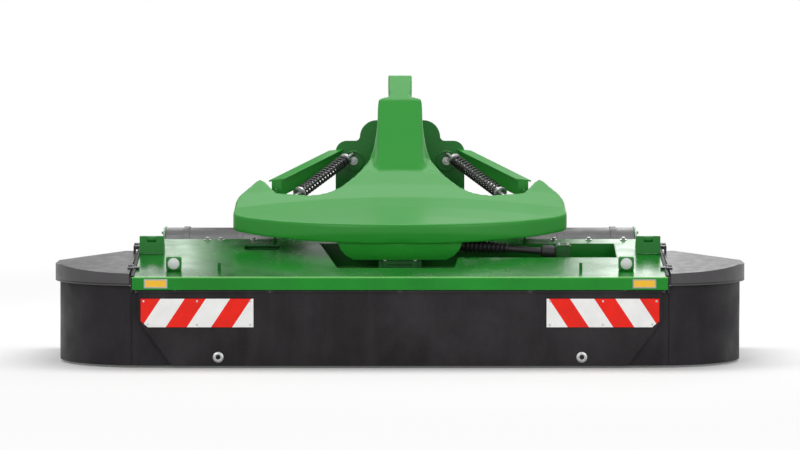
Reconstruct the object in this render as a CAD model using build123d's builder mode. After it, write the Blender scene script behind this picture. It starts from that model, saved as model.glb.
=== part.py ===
from build123d import *
import os
from math import cos, radians, sin, sqrt, tan

# Front-mounted disc mower conditioner with its headstock, drive and covers.
# Millimetres. +Z is up, the machine drives towards -Y, the tractor is on the +Y side.
# The origin is on the ground, midway along, across and below the machine.
# Side profiles are lists of (distance behind the front, height).

# ---- whole machine ----
overall_width = 3520
overall_length = 2000
front_y = -overall_length / 2
sides = (("left", -1), ("right", 1))
running = 0.05        # radial clearance of a shaft in its bore
seat_gap = 0.3        # gap between pieces that rest on or in each other

# ---- deck ----
deck_width = 2680
deck_depth = 874
deck_slope = 9.2      # degrees, rising to the rear
deck_sheet = 5
lip_front = 3         # the lip's face, behind the reflectors
lip_top = 455
lip_height = 63
rear_flange = 55
bend_radius = 8       # outside, where the sheet turns down at the front and the rear
deck_rise = tan(radians(deck_slope))

# ---- recess in the deck for the drive ----
recess_floor = 420
recess_front = 200
recess_step = 440     # the drive side's recess starts this far back
recess_rear = 764
recess_wall = 5

# ---- main beam and side plates ----
beam_size = 100
beam_wall = 8
beam_front = 769
beam_low = 465
side_plate_inner = deck_width / 2 - 110
side_plate_thick = 10

# ---- cutterbar ----
disc_count = 7
disc_pitch = 420
disc_centre = 607     # behind the front
bar_length = 2790
bar_depth = 230
bar_low = 35
bar_high = 92
stub_radius = 25
disc_low = 108
disc_thick = 14
disc_long = 222       # half length of the oval disc
disc_short = 150
knife_reach = 257      # from the disc's centre to the knife's tip
knife_width = 44
knife_thick = 4
drum_radius = 105

# ---- conditioner ----
rotor_y = 1165
rotor_z = 360
rotor_tube = 88
rotor_reach = 250
rotor_half = side_plate_inner - 50
rotor_stub = 30
tine_rows = 6
tine_pitch = 84
tine_width = 26
tine_thick = 12
hood_clear = 22
hood_sheet = 5
board_height = 300
board_low = 150
board_sheet = 5
board_hinge_y = 1470

# ---- headstock, category 2 front hitch ----
hitch_y = 1665
hitch_z = 660
hitch_spread = 825    # between the shoulders of the lower pins
hitch_pin_radius = 14.25
hitch_pin_length = 70
mast_height = 610
top_pin_radius = 12.75
cross_tube = 80
ear_gap = 52
ear_thick = 14

# ---- drive ----
drive_z = 700
guard_radius = 45
pto_radius = 17.45    # 1 3/8 inch shaft
pto_length = 76

# ---- front curtain and covers ----
curtain_thick = 6
curtain_low = 10
curtain_face = 6
flap_hinge_y = 9
flap_hinge_z = 382
flap_rod = 4
flap_bead = 8
plate_thick = 2.7
cover_radius = 500
cover_depth = 720
cover_wall = 5
rim_low = 412
corner_inset = 22     # corner curtain behind the cover's rim
seal_width = 10
cover_hinge_x = deck_width / 2 + 7
cover_hinge_rise = 8
rail_rear = 1255

# ---- parking legs ----
leg_x = 360
leg_size = 50
leg_pivot_y = 1640
leg_pivot_z = 360
leg_pin = 12

os.makedirs("parts", exist_ok=True)


def at(distance):
    """Y of a place this far behind the machine's front."""
    return front_y + distance


def deck_top(distance):
    """Height of the deck's upper face."""
    return lip_top + (distance - lip_front) * deck_rise


def side_points(points):
    """Side profile points, from (distance, height) to the YZ plane."""
    return [(at(distance), height) for distance, height in points]


def profile(points):
    """Closed side profile."""
    with BuildSketch() as shape:
        with BuildLine():
            Polyline(*side_points(points), close=True)
        make_face()
    return shape.sketch


def strip(points, thickness, side):
    """Side profile of a bent sheet, thickened to one side of its bends."""
    with BuildSketch() as shape:
        with BuildLine():
            Polyline(*side_points(points))
            offset(amount=thickness, side=side)
        make_face()
    return shape.sketch


def outline(points):
    """Closed outline from (x, distance) points, on the ground plane."""
    with BuildSketch() as shape:
        with BuildLine():
            Polyline(*[(x, at(distance)) for x, distance in points], close=True)
        make_face()
    return shape.sketch


def along(start, end):
    """Plane at start whose normal points to end."""
    return Plane(origin=start, z_dir=Vector(*end) - Vector(*start))


def length_between(start, end):
    return (Vector(*end) - Vector(*start)).length


# ---- deck ----
deck_rear_z = deck_top(deck_depth)
deck_bends = [
    (lip_front, lip_top - lip_height), (lip_front, lip_top), (deck_depth, deck_rear_z),
    (deck_depth, deck_rear_z - rear_flange),
]
recess_points = [
    (-318, recess_front), (278, recess_front), (300, recess_step),
    (1110, recess_step), (1110, recess_rear), (-420, recess_rear),
]
hand_hole = (-710, 665, 180, 110)      # x, distance, width, depth
peg_x = deck_width / 2 - 430
peg_distance = 160
peg_radius = 8
peg_height = 42
upright_x = 646       # plates that stand on the beam and pass through notches in the deck
mast_x = 66
mast_thick = 12
notch_gap = 3
mast_rear = 855        # the plates' rear edge where they stand on the beam
notch_rear = mast_rear + notch_gap
notch_places = (-upright_x, -mast_x, mast_x, upright_x)

with BuildPart() as deck:
    with BuildSketch(Plane.YZ):
        with BuildLine():
            FilletPolyline(*side_points(deck_bends), radius=bend_radius)
            offset(amount=deck_sheet, side=Side.RIGHT)
        make_face()
    extrude(amount=deck_width / 2, both=True)
    for side in (-1, 1):
        with BuildSketch(Plane.YZ.offset(side * (deck_width / 2 - deck_sheet / 2))):
            with BuildLine():
                FilletPolyline(*side_points(deck_bends), radius=bend_radius)
                Polyline(*side_points([deck_bends[-1], (90, lip_top - lip_height), deck_bends[0]]))
            make_face()
        extrude(amount=deck_sheet / 2, both=True)
    with BuildSketch(Plane.XY.offset(recess_floor)):
        add(outline(recess_points))
        with Locations((hand_hole[0], at(hand_hole[1]))):
            RectangleRounded(hand_hole[2], hand_hole[3], 20)
        with Locations([(x, at((recess_rear + notch_rear) / 2)) for x in notch_places]):
            Rectangle(mast_thick + 2 * notch_gap, notch_rear - recess_rear)
    extrude(amount=lip_top, mode=Mode.SUBTRACT)
    for side in (-1, 1):
        with BuildSketch(Plane((side * peg_x, at(peg_distance), deck_top(peg_distance) - deck_sheet))):
            Circle(peg_radius)
        extrude(amount=peg_height)
deck.part.label = "deck"
export_step(deck.part, "parts/deck.step")

# ---- recess pan: floor and walls under the opening in the deck ----
with BuildPart() as recess_pan:
    with BuildSketch(Plane.XY.offset(recess_floor)):
        add(outline(recess_points))
    extrude(amount=lip_top)
    with BuildSketch(Plane.XY.offset(recess_floor + recess_wall)):
        add(outline(recess_points))
        offset(amount=-recess_wall, kind=Kind.INTERSECTION, mode=Mode.REPLACE)
    extrude(amount=lip_top, mode=Mode.SUBTRACT)
    with BuildSketch(Plane.YZ):
        add(profile([(0, 300), (0, deck_top(0)), (1200, deck_top(1200)), (1200, 300)]))
    extrude(amount=deck_width, both=True, mode=Mode.INTERSECT)
recess_pan.part.label = "recess_pan"
export_step(recess_pan.part, "parts/recess_pan.step")

# ---- main frame: beam, upright plates for the arms, mast plates for the upper link ----
beam_top = beam_low + beam_size
beam_rear = beam_front + beam_size
crown_radius = 6250        # the shroud's surface falls away to the sides on this radius
crown_centre = 750 - crown_radius
shroud_sheet = 5
shroud_top = [(440, 693), (785, 819), (980, 950), (1078, 1077), (1244, 1308), (1390, 1433)]
shroud_under = [(1440, 1380), (1330, 1240), (1160, 1005), (1045, 868), (800, 738), (440, 592)]
arm_pin_y = 1020
upright_rear = 1050
arm_pin_z = 715
link_pin_y = 905
link_pin_z = 800
spring_x = 560
spring_y = 1010
spring_z = 800
spring_pin = 10


def crown_drop(x):
    """How far the shroud's surface lies lower at x than at the middle."""
    return crown_radius - sqrt(crown_radius ** 2 - x ** 2)


def shroud_seat(distance, x):
    """Height of the shroud's inner face over its wing."""
    (near, low), (far, high) = shroud_top[0], shroud_top[1]
    slope = (high - low) / (far - near)
    sheet_height = shroud_sheet * sqrt(1 + slope ** 2)
    return low + (distance - near) * slope - crown_drop(x) - sheet_height - seat_gap


upright_outer = upright_x + mast_thick / 2
with BuildPart() as main_frame:
    with BuildSketch(Plane.YZ):
        with Locations((at(beam_front + beam_size / 2), beam_low + beam_size / 2)):
            RectangleRounded(beam_size, beam_size, 12)
            RectangleRounded(beam_size - 2 * beam_wall, beam_size - 2 * beam_wall, 6, mode=Mode.SUBTRACT)
    extrude(amount=side_plate_inner, both=True)
    for side in (-1, 1):
        with BuildSketch(Plane.YZ.offset(side * upright_x)):
            add(profile([(780, beam_top - 1), (mast_rear, beam_top - 1), (mast_rear, 612), (upright_rear, 690),
                         (upright_rear, 850), (914, 850),
                         (914, 740), (866, 740), (866, 785), (785, shroud_seat(785, upright_outer)),
                         (700, shroud_seat(700, upright_outer)), (700, 700)]))
        extrude(amount=mast_thick / 2, both=True)
        with BuildSketch(Plane.YZ.offset(side * mast_x)):
            add(profile([(785, beam_top - 1), (mast_rear, beam_top - 1), (mast_rear, 612), (935, 765), (935, 830), (875, 835),
                         (800, 700)]))
        extrude(amount=mast_thick / 2, both=True)
        with BuildSketch(Plane.YZ.offset(side * (upright_x + 30))):
            with Locations((at(arm_pin_y), arm_pin_z)):
                Circle(24)
        extrude(amount=-side * 24)
        with BuildSketch(Plane.YZ.offset(side * (spring_x - 20))):
            with Locations((at(spring_y), spring_z)):
                Circle(spring_pin)
        extrude(amount=side * (upright_x - spring_x + 20))
main_frame.part.label = "main_frame"
export_step(main_frame.part, "parts/main_frame.step")

# ---- side plates: carry the cutterbar, the rotor and the hood ----
bar_rear = disc_centre + bar_depth / 2
plate_points = [
    (bar_rear + seat_gap, bar_low), (895, bar_low), (1120, 130), (1400, 200), (1480, 300),
    (1480, 440), (1390, 530), (1230, 640), (1080, 640), (905, 570), (885, beam_top - 30),
    (beam_rear - 8, beam_top - 30), (beam_rear - 8, beam_top + 4), (beam_front, beam_top + 4),
    (beam_front, beam_low - 30), (885, 380), (885, bar_high + 4),
    (bar_rear + seat_gap, bar_high),
]
bearing_radius = 62
bearing_length = 34
for name, side in sides:
    with BuildPart() as side_plate:
        with BuildSketch(Plane.YZ.offset(side * side_plate_inner)):
            add(profile(plate_points))
        extrude(amount=side * side_plate_thick)
        with BuildSketch(Plane.YZ.offset(side * side_plate_inner)):
            with Locations((at(rotor_y), rotor_z)):
                Circle(bearing_radius)
        extrude(amount=side * bearing_length)
        with BuildSketch(Plane.YZ.offset(side * side_plate_inner)):
            with Locations((at(rotor_y), rotor_z)):
                Circle(rotor_stub + running)
        extrude(amount=side * bearing_length, mode=Mode.SUBTRACT)
        with BuildSketch(Plane.XY.offset(board_low + board_height + 2)):
            with Locations((side * (side_plate_inner - 15), at(board_hinge_y))):
                Rectangle(30, 36)
                Circle(6, mode=Mode.SUBTRACT)
        extrude(amount=14)
        with BuildSketch(Plane.XY.offset(board_low + 100)):
            with Locations((side * (side_plate_inner - 15), at(board_hinge_y))):
                Circle(6)
        extrude(amount=board_height - 84)
    side_plate.part.label = f"side_plate_{name}"
    export_step(side_plate.part, f"parts/side_plate_{name}.step")

# ---- cutterbar with a boss and a stub shaft under each disc ----
disc_xs = [(number - (disc_count - 1) / 2) * disc_pitch for number in range(disc_count)]
boss_radius = 62
stub_top = disc_low + disc_thick + 22
with BuildPart() as cutterbar:
    with BuildSketch(Plane.XY.offset(bar_low)):
        with Locations((0, at(disc_centre))):
            SlotOverall(bar_length, bar_depth)
    extrude(amount=bar_high - bar_low)
    chamfer(cutterbar.faces().sort_by(Axis.Z)[-1].edges(), length=14)
    with BuildSketch(Plane.XY.offset(bar_high)):
        with Locations([(x, at(disc_centre)) for x in disc_xs]):
            Circle(boss_radius)
    extrude(amount=disc_low - seat_gap - bar_high)
    with BuildSketch(Plane.XY.offset(bar_high)):
        with Locations([(x, at(disc_centre)) for x in disc_xs]):
            Circle(stub_radius)
    extrude(amount=stub_top - bar_high)
    with BuildSketch(Plane.XY.offset(bar_low)):
        with Locations([(side * (side_plate_inner + side_plate_thick / 2), at(bar_rear - 30)) for side in (-1, 1)]):
            Rectangle(80, 60)
    extrude(amount=bar_high - bar_low)
cutterbar.part.label = "cutterbar"
export_step(cutterbar.part, "parts/cutterbar.step")

# ---- skid shoes under the bar ----
shoe_width = 250
shoe_points = [
    (398, 62), (402, 52), (425, 12), (455, 0), (715, 0), (745, 14), (745, bar_low), (bar_rear - 5, bar_low),
    (disc_centre - bar_depth / 2, bar_low), (440, bar_low + 2), (412, 64),
]
with BuildPart() as skid_shoes:
    for x in disc_xs:
        with BuildSketch(Plane.YZ.offset(x)):
            add(profile(shoe_points))
        extrude(amount=shoe_width / 2, both=True)
skid_shoes.part.label = "skid_shoes"
export_step(skid_shoes.part, "parts/skid_shoes.step")

# ---- discs: an oval plate, a domed hub, two knives, and a crop drum on some ----
# columns: turned by, drum height above the disc, from the left disc to the right one
disc_table = [(0, 270), (90, 0), (0, 0), (90, 0), (0, 0), (90, 265), (0, 270)]
hub_radius = 72
hub_height = 48
for number, (x, (turned, drum_height)) in enumerate(zip(disc_xs, disc_table), start=1):
    place = Plane((x, at(disc_centre), disc_low)).rotated((0, 0, turned))
    with BuildPart() as disc:
        with BuildSketch(place):
            Ellipse(disc_long, disc_short)
        extrude(amount=disc_thick)
        with BuildSketch(place.offset(disc_thick)):
            Circle(hub_radius)
        extrude(amount=hub_height, taper=18)
        if drum_height:
            with BuildSketch(place.offset(disc_thick)):
                Circle(drum_radius)
            extrude(amount=drum_height, taper=3)
        with BuildSketch(place):
            Circle(stub_radius + running)
        extrude(amount=stub_top - disc_low + seat_gap, mode=Mode.SUBTRACT)
        with BuildSketch(place.offset(-knife_thick)):
            with Locations((knife_reach - 50, 0), (50 - knife_reach, 0)):
                Rectangle(100, knife_width)
        extrude(amount=knife_thick)
    disc.part.label = f"disc_{number}"
    export_step(disc.part, f"parts/disc_{number}.step")

# ---- conditioner rotor: tube, stub shafts and rows of tines ----
tine_half_count = int((rotor_half - tine_width) / tine_pitch)
tine_xs = [number * tine_pitch for number in range(-tine_half_count, tine_half_count + 1)]
tine_bar = 14         # height of the bar that carries a row of tines
with BuildPart() as conditioner_rotor:
    with BuildSketch(Plane.YZ):
        with Locations((at(rotor_y), rotor_z)):
            Circle(rotor_tube)
    extrude(amount=rotor_half, both=True)
    with BuildSketch(Plane.YZ):
        with Locations((at(rotor_y), rotor_z)):
            Circle(rotor_stub)
    extrude(amount=side_plate_inner + bearing_length - 2, both=True)
conditioner_rotor.part.label = "conditioner_rotor"
export_step(conditioner_rotor.part, "parts/conditioner_rotor.step")

with BuildPart() as conditioner_tines:
    for row in range(tine_rows):
        around = Plane((0, at(rotor_y), rotor_z), x_dir=(1, 0, 0), z_dir=(0, 0, 1))
        around = around.rotated((90 + row * 360 / tine_rows, 0, 0))
        row_xs = tine_xs[row % 2::2]
        bar_foot = rotor_tube + seat_gap
        with BuildSketch(around):
            with Locations((0, bar_foot + tine_bar / 2)):
                Rectangle(2 * rotor_half, tine_bar)
            with Locations([(x, (bar_foot + rotor_reach) / 2) for x in row_xs]):
                Rectangle(tine_width, rotor_reach - bar_foot)
        extrude(amount=tine_thick / 2, both=True)
conditioner_tines.part.label = "conditioner_tines"
export_step(conditioner_tines.part, "parts/conditioner_tines.step")

# ---- conditioner hood: sheet bent round the rotor, between the side plates ----
hood_radius = rotor_reach + hood_clear
hood_half = side_plate_inner - seat_gap
hood_front_angle = 140
hood_rear_angle = 28


def on_hood(angle, radius):
    """Point of the hood's arc, as (y, z)."""
    return (at(rotor_y) + radius * cos(radians(angle)), rotor_z + radius * sin(radians(angle)))


hood_front_low = on_hood(hood_front_angle, hood_radius)
hood_front_high = on_hood(hood_front_angle, hood_radius + hood_sheet)
hood_rear_low = on_hood(hood_rear_angle, hood_radius)
hood_rear_high = on_hood(hood_rear_angle, hood_radius + hood_sheet)
tail = (90 * sin(radians(hood_rear_angle)), -90 * cos(radians(hood_rear_angle)))
beam_back = at(beam_rear + seat_gap)
with BuildPart() as conditioner_hood:
    with BuildSketch(Plane.YZ):
        with BuildLine():
            Line((beam_back, hood_front_low[1]), hood_front_low)
            ThreePointArc(hood_front_low, on_hood(84, hood_radius), hood_rear_low)
            Line(hood_rear_low, (hood_rear_low[0] + tail[0], hood_rear_low[1] + tail[1]))
            Line((hood_rear_low[0] + tail[0], hood_rear_low[1] + tail[1]),
                 (hood_rear_high[0] + tail[0], hood_rear_high[1] + tail[1]))
            Line((hood_rear_high[0] + tail[0], hood_rear_high[1] + tail[1]), hood_rear_high)
            ThreePointArc(hood_rear_high, on_hood(84, hood_radius + hood_sheet), hood_front_high)
            Line(hood_front_high, (beam_back, hood_front_high[1]))
            Line((beam_back, hood_front_high[1]), (beam_back, hood_front_low[1]))
        make_face()
    extrude(amount=hood_half, both=True)
conditioner_hood.part.label = "conditioner_hood"
export_step(conditioner_hood.part, "parts/conditioner_hood.step")

# ---- swath boards, each on a vertical pin ----
board_pin = 6
board_eye = 11
board_rear = overall_length
for name, side in sides:
    hinge_x = side * (side_plate_inner - 15)
    with BuildPart() as swath_board:
        with BuildSketch(Plane.XY.offset(board_low)):
            with Locations((hinge_x, at((board_hinge_y + board_rear) / 2))):
                Rectangle(board_sheet, board_rear - board_hinge_y)
            with Locations((hinge_x, at(board_hinge_y))):
                Circle(board_eye)
        extrude(amount=board_height)
        with BuildSketch(Plane.XY.offset(board_low + 60)):
            with Locations((hinge_x, at(board_hinge_y))):
                Circle(board_pin + running)
        extrude(amount=board_height, mode=Mode.SUBTRACT)
        with BuildSketch(Plane.YZ.offset(hinge_x)):
            add(profile([(board_rear - 260, board_low - 1), (board_rear + 1, board_low - 1),
                         (board_rear + 1, board_low + 130)]))
        extrude(amount=40, both=True, mode=Mode.SUBTRACT)
    swath_board.part.label = f"swath_board_{name}"
    export_step(swath_board.part, f"parts/swath_board_{name}.step")

# ---- front curtain: rubber flap that hangs from a rod under the lip ----
flap_half = deck_width / 2 - 30
flap_foot_half = deck_width / 2 - 200
slant_top = 240
flap_tab_x = flap_half / 2 - 5
notch_xs = (-flap_tab_x, 0, flap_tab_x)
notch_width = 34
grommet_x = flap_foot_half - 230
grommet_z = 56
grommet_radius = 26
grommet_hole = 12
with BuildPart() as front_curtain:
    with BuildSketch(Plane.XZ.offset(-at(curtain_face))):
        with BuildLine():
            Polyline((-flap_half, flap_hinge_z), (-flap_half, slant_top), (-flap_foot_half, curtain_low),
                     (flap_foot_half, curtain_low), (flap_half, slant_top), (flap_half, flap_hinge_z), close=True)
        make_face()
        with Locations((-grommet_x, grommet_z), (grommet_x, grommet_z)):
            Circle(grommet_hole, mode=Mode.SUBTRACT)
    extrude(amount=-curtain_thick)
    with BuildSketch(Plane.YZ):
        with Locations((at(flap_hinge_y), flap_hinge_z)):
            Circle(flap_bead)
    extrude(amount=flap_half, both=True)
    with BuildSketch(Plane.YZ):
        with Locations((at(flap_hinge_y), flap_hinge_z)):
            Circle(flap_rod + running)
    extrude(amount=flap_half, both=True, mode=Mode.SUBTRACT)
    with BuildSketch(Plane.XY.offset(flap_hinge_z - 26)):
        with Locations([(x, at(flap_hinge_y)) for x in notch_xs]):
            Rectangle(notch_width, 40)
    extrude(amount=60, mode=Mode.SUBTRACT)
front_curtain.part.label = "front_curtain"
export_step(front_curtain.part, "parts/front_curtain.step")

# ---- rod that carries the flap, with its tabs on the lip ----
tab_thick = 8
tab_xs = (-flap_half - 12, *notch_xs, flap_half + 12)
with BuildPart() as flap_rod_bar:
    with BuildSketch(Plane.YZ):
        with Locations((at(flap_hinge_y), flap_hinge_z)):
            Circle(flap_rod)
    extrude(amount=flap_half + 16, both=True)
    for x in tab_xs:
        with BuildSketch(Plane.YZ.offset(x)):
            add(profile([(flap_hinge_y - 5, flap_hinge_z - 6), (flap_hinge_y + 5, flap_hinge_z - 6),
                         (lip_front + deck_sheet + 10, lip_top - 45),
                         (lip_front + deck_sheet + seat_gap, lip_top - 45),
                         (lip_front + deck_sheet + seat_gap, flap_hinge_z + 8),
                         (flap_hinge_y - 5, flap_hinge_z + 8)]))
        extrude(amount=tab_thick / 2, both=True)
flap_rod_bar.part.label = "curtain_rod"
export_step(flap_rod_bar.part, "parts/curtain_rod.step")

# ---- grommets in the flap ----
with BuildPart() as curtain_grommets:
    with BuildSketch(Plane.XZ.offset(-at(curtain_face - 1.5))):
        with Locations((-grommet_x, grommet_z), (grommet_x, grommet_z)):
            Circle(grommet_radius)
            Circle(grommet_hole, mode=Mode.SUBTRACT)
    extrude(amount=-1.5 + seat_gap / 3)
curtain_grommets.part.label = "curtain_grommets"
export_step(curtain_grommets.part, "parts/curtain_grommets.step")

# ---- striped plates: the blank backing plates on the flap ----
stripe_outer = flap_half - 13
stripe_inner = stripe_outer - 564
stripe_low = 205
stripe_high = 348
for name, side in sides:
    with BuildPart() as stripe_plate:
        with BuildSketch(Plane.XZ.offset(-at(curtain_face - plate_thick - seat_gap / 3))):
            with BuildLine():
                Polyline((side * stripe_inner, stripe_low), (side * stripe_inner, stripe_high),
                         (side * stripe_outer, stripe_high), (side * stripe_outer, stripe_low + 45),
                         (side * (stripe_outer - 32), stripe_low), close=True)
            make_face()
        extrude(amount=-plate_thick)
    stripe_plate.part.label = f"stripe_plate_{name}"
    export_step(stripe_plate.part, f"parts/stripe_plate_{name}.step")

# ---- corner curtains: fixed strips behind the flap, and the part that folds with the cover ----
half_width = overall_width / 2
corner_centre_x = half_width - cover_radius
flap_end = deck_width / 2
curtain_rear = 1250


def corner_wall(inset, thickness, rear):
    """Plan of a wall that follows the corner: from the middle straight, quarter round, straight. Right side."""
    radius = cover_radius - inset
    inner = radius - thickness
    with BuildSketch() as shape:
        with BuildLine():
            Line((0, at(inset)), (corner_centre_x, at(inset)))
            CenterArc((corner_centre_x, at(cover_radius)), radius, 270, 90)
            Line((corner_centre_x + radius, at(cover_radius)), (corner_centre_x + radius, at(rear)))
            Line((corner_centre_x + radius, at(rear)), (corner_centre_x + inner, at(rear)))
            Line((corner_centre_x + inner, at(rear)), (corner_centre_x + inner, at(cover_radius)))
            CenterArc((corner_centre_x, at(cover_radius)), inner, 0, -90)
            Line((corner_centre_x, at(inset + thickness)), (0, at(inset + thickness)))
            Line((0, at(inset + thickness)), (0, at(inset)))
        make_face()
    return shape.sketch


corner_flap_steps = [       # reach from the middle, height of its top
    (flap_end - 6, deck_top(corner_inset) - deck_sheet * 1.02 - seat_gap),
    (cover_hinge_x - 1, lip_top - lip_height - seat_gap),
]
for name, side in sides:
    with BuildPart() as corner_flap:
        for reach, top in corner_flap_steps:
            with BuildSketch(Plane.XY.offset(curtain_low)):
                add(corner_wall(corner_inset, curtain_thick, curtain_rear))
                with Locations(((flap_foot_half + reach) / 2, at(cover_radius / 2))):
                    Rectangle(reach - flap_foot_half, cover_radius, mode=Mode.INTERSECT)
            extrude(amount=top - curtain_low)
        if side < 0:
            mirror(about=Plane.YZ, mode=Mode.REPLACE)
    corner_flap.part.label = f"corner_flap_{name}"
    export_step(corner_flap.part, f"parts/corner_flap_{name}.step")

    with BuildPart() as side_curtain:
        with BuildSketch(Plane.XY.offset(curtain_low)):
            add(corner_wall(corner_inset, curtain_thick, curtain_rear))
            with Locations(((cover_hinge_x + 1 + half_width) / 2, at(curtain_rear / 2))):
                Rectangle(half_width - cover_hinge_x - 1, curtain_rear, mode=Mode.INTERSECT)
        extrude(amount=rim_low - seat_gap - curtain_low)
        if side < 0:
            mirror(about=Plane.YZ, mode=Mode.REPLACE)
    side_curtain.part.label = f"side_curtain_{name}"
    export_step(side_curtain.part, f"parts/side_curtain_{name}.step")

# ---- side covers: hollow corner cover, side rail and hinge eyes ----
cover_inner_x = flap_end + seal_width + 5
hinge_stations = (180, cover_depth - 55)
hinge_pin = 5
hinge_eye = 9
eye_length = 26
hinge_up = (0, cos(radians(deck_slope)), sin(radians(deck_slope)))


def cover_plan(inset):
    """Plan of the corner cover, pulled in by inset. Right side."""
    radius = cover_radius - inset
    low_x = cover_inner_x + inset
    low_distance = cover_radius - sqrt(radius ** 2 - (low_x - corner_centre_x) ** 2)
    mid = radius * cos(radians(45))
    with BuildSketch() as shape:
        with BuildLine():
            ThreePointArc((low_x, at(low_distance)), (corner_centre_x + mid, at(cover_radius - mid)),
                          (corner_centre_x + radius, at(cover_radius)))
            Line((corner_centre_x + radius, at(cover_radius)), (corner_centre_x + radius, at(cover_depth - inset)))
            Line((corner_centre_x + radius, at(cover_depth - inset)), (low_x, at(cover_depth - inset)))
            Line((low_x, at(cover_depth - inset)), (low_x, at(low_distance)))
        make_face()
    return shape.sketch


def under_cover_top(lower):
    """Space under the cover's top faces: a block cut by the sloping top. Right side."""
    with BuildPart() as space:
        with BuildSketch(Plane.YZ.offset(cover_inner_x - 50)):
            add(profile([(-50, 300), (-50, 468 - lower), (60, 478 - lower), (cover_depth + 50, 548 - lower),
                         (cover_depth + 50, 300)]))
        extrude(amount=half_width - cover_inner_x + 100)
        with BuildSketch(Plane.XZ.offset(-at(-100))):
            with BuildLine():
                Polyline((cover_inner_x - 60, 300), (cover_inner_x - 60, 560 - lower),
                         (half_width + 60, 487 - lower), (half_width + 60, 300), close=True)
            make_face()
        extrude(amount=-cover_depth - 200, mode=Mode.INTERSECT)
    return space.part


def cover_body(inset):
    """Closed form of the corner cover, pulled in by inset on every side. Right side."""
    with BuildPart() as form:
        with BuildSketch(Plane.XY.offset(rim_low + inset)):
            add(cover_plan(inset))
        extrude(amount=200)
        add(under_cover_top(inset), mode=Mode.INTERSECT)
    return form.part


for name, side in sides:
    with BuildPart() as side_cover:
        add(cover_body(0))
        add(cover_body(cover_wall), mode=Mode.SUBTRACT)
        with BuildSketch(Plane.XY.offset(rim_low)):
            with Locations((half_width - 30, at((cover_depth + rail_rear) / 2 - 10))):
                Rectangle(36, rail_rear - cover_depth + 20)
        extrude(amount=36)
        for station in hinge_stations:
            axis_z = deck_top(station) + cover_hinge_rise
            eye_place = Plane((cover_hinge_x, at(station), axis_z), x_dir=(1, 0, 0), z_dir=hinge_up)
            for shift in (-eye_length - 1, eye_length + 1):
                with BuildSketch(eye_place.offset(shift)):
                    with BuildLine():
                        Polyline((0, hinge_eye), (0, -hinge_eye), (24, -hinge_eye), (24, 48), (16, 48),
                                 (16, hinge_eye), close=True)
                    make_face()
                    Circle(hinge_eye)
                    Circle(hinge_pin + running, mode=Mode.SUBTRACT)
                extrude(amount=eye_length / 2, both=True)
        if side < 0:
            mirror(about=Plane.YZ, mode=Mode.REPLACE)
    side_cover.part.label = f"side_cover_{name}"
    export_step(side_cover.part, f"parts/side_cover_{name}.step")

# ---- hinge pins of the side covers, one solid at each station ----
with BuildPart() as cover_hinges:
    for station in hinge_stations:
        axis_z = deck_top(station) + cover_hinge_rise
        pin_place = Plane((cover_hinge_x, at(station), axis_z), x_dir=(1, 0, 0), z_dir=hinge_up)
        with BuildSketch(pin_place):
            Circle(hinge_pin)
        extrude(amount=eye_length * 1.6, both=True)
        with BuildSketch(pin_place):
            Circle(hinge_eye - 1.5)
            with Locations((-17, 1.5)):
                Rectangle(34, 2 * hinge_eye - 6)
        extrude(amount=eye_length / 2, both=True)
    mirror(about=Plane.YZ)
cover_hinges.part.label = "cover_hinges"
export_step(cover_hinges.part, "parts/cover_hinges.step")

# ---- rubber seals along the deck's sides ----
with BuildPart() as edge_seals:
    for side in (-1, 1):
        with BuildSketch(Plane.YZ.offset(side * flap_end)):
            add(profile([(lip_front + 30, lip_top - 30), (lip_front + 30, deck_top(30) - 3),
                         (cover_depth, deck_top(cover_depth) - 3), (cover_depth, deck_top(cover_depth) - 45)]))
        extrude(amount=side * (seal_width - 2))
edge_seals.part.label = "edge_seals"
export_step(edge_seals.part, "parts/edge_seals.step")

# ---- marker lamps and reflectors ----
lamp_x = deck_width / 2 - 214
lamp_distance = 140
lamp_size = 70
with BuildPart() as marker_lamps:
    for side in (-1, 1):
        with BuildSketch(Plane.XZ.offset(-at(lamp_distance))):
            with Locations((side * lamp_x, deck_top(lamp_distance) + lamp_size / 2 + 6.5)):
                RectangleRounded(lamp_size, lamp_size, 14)
        extrude(amount=-40)
        with BuildSketch(Plane.XZ.offset(-at(lamp_distance))):
            with Locations((side * lamp_x, deck_top(lamp_distance) + lamp_size / 2 + 6.5)):
                RectangleRounded(lamp_size - 16, lamp_size - 16, 12)
        extrude(amount=5)
        with BuildSketch(Plane.YZ.offset(side * lamp_x)):
            add(profile([(lamp_distance, deck_top(lamp_distance) + seat_gap),
                         (lamp_distance, deck_top(lamp_distance) + 20),
                         (lamp_distance + 36, deck_top(lamp_distance) + 20),
                         (lamp_distance + 36, deck_top(lamp_distance + 36) + seat_gap)]))
        extrude(amount=20, both=True)
marker_lamps.part.label = "marker_lamps"
export_step(marker_lamps.part, "parts/marker_lamps.step")

reflector_outer = deck_width / 2 - 64
reflector_inner = reflector_outer - 151
with BuildPart() as reflectors:
    for side in (-1, 1):
        with BuildSketch(Plane.XZ.offset(-at(lip_front))):
            with Locations((side * (reflector_inner + reflector_outer) / 2, lip_top - lip_height / 2)):
                Rectangle(reflector_outer - reflector_inner, 46)
        extrude(amount=lip_front)
reflectors.part.label = "reflectors"
export_step(reflectors.part, "parts/reflectors.step")

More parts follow.
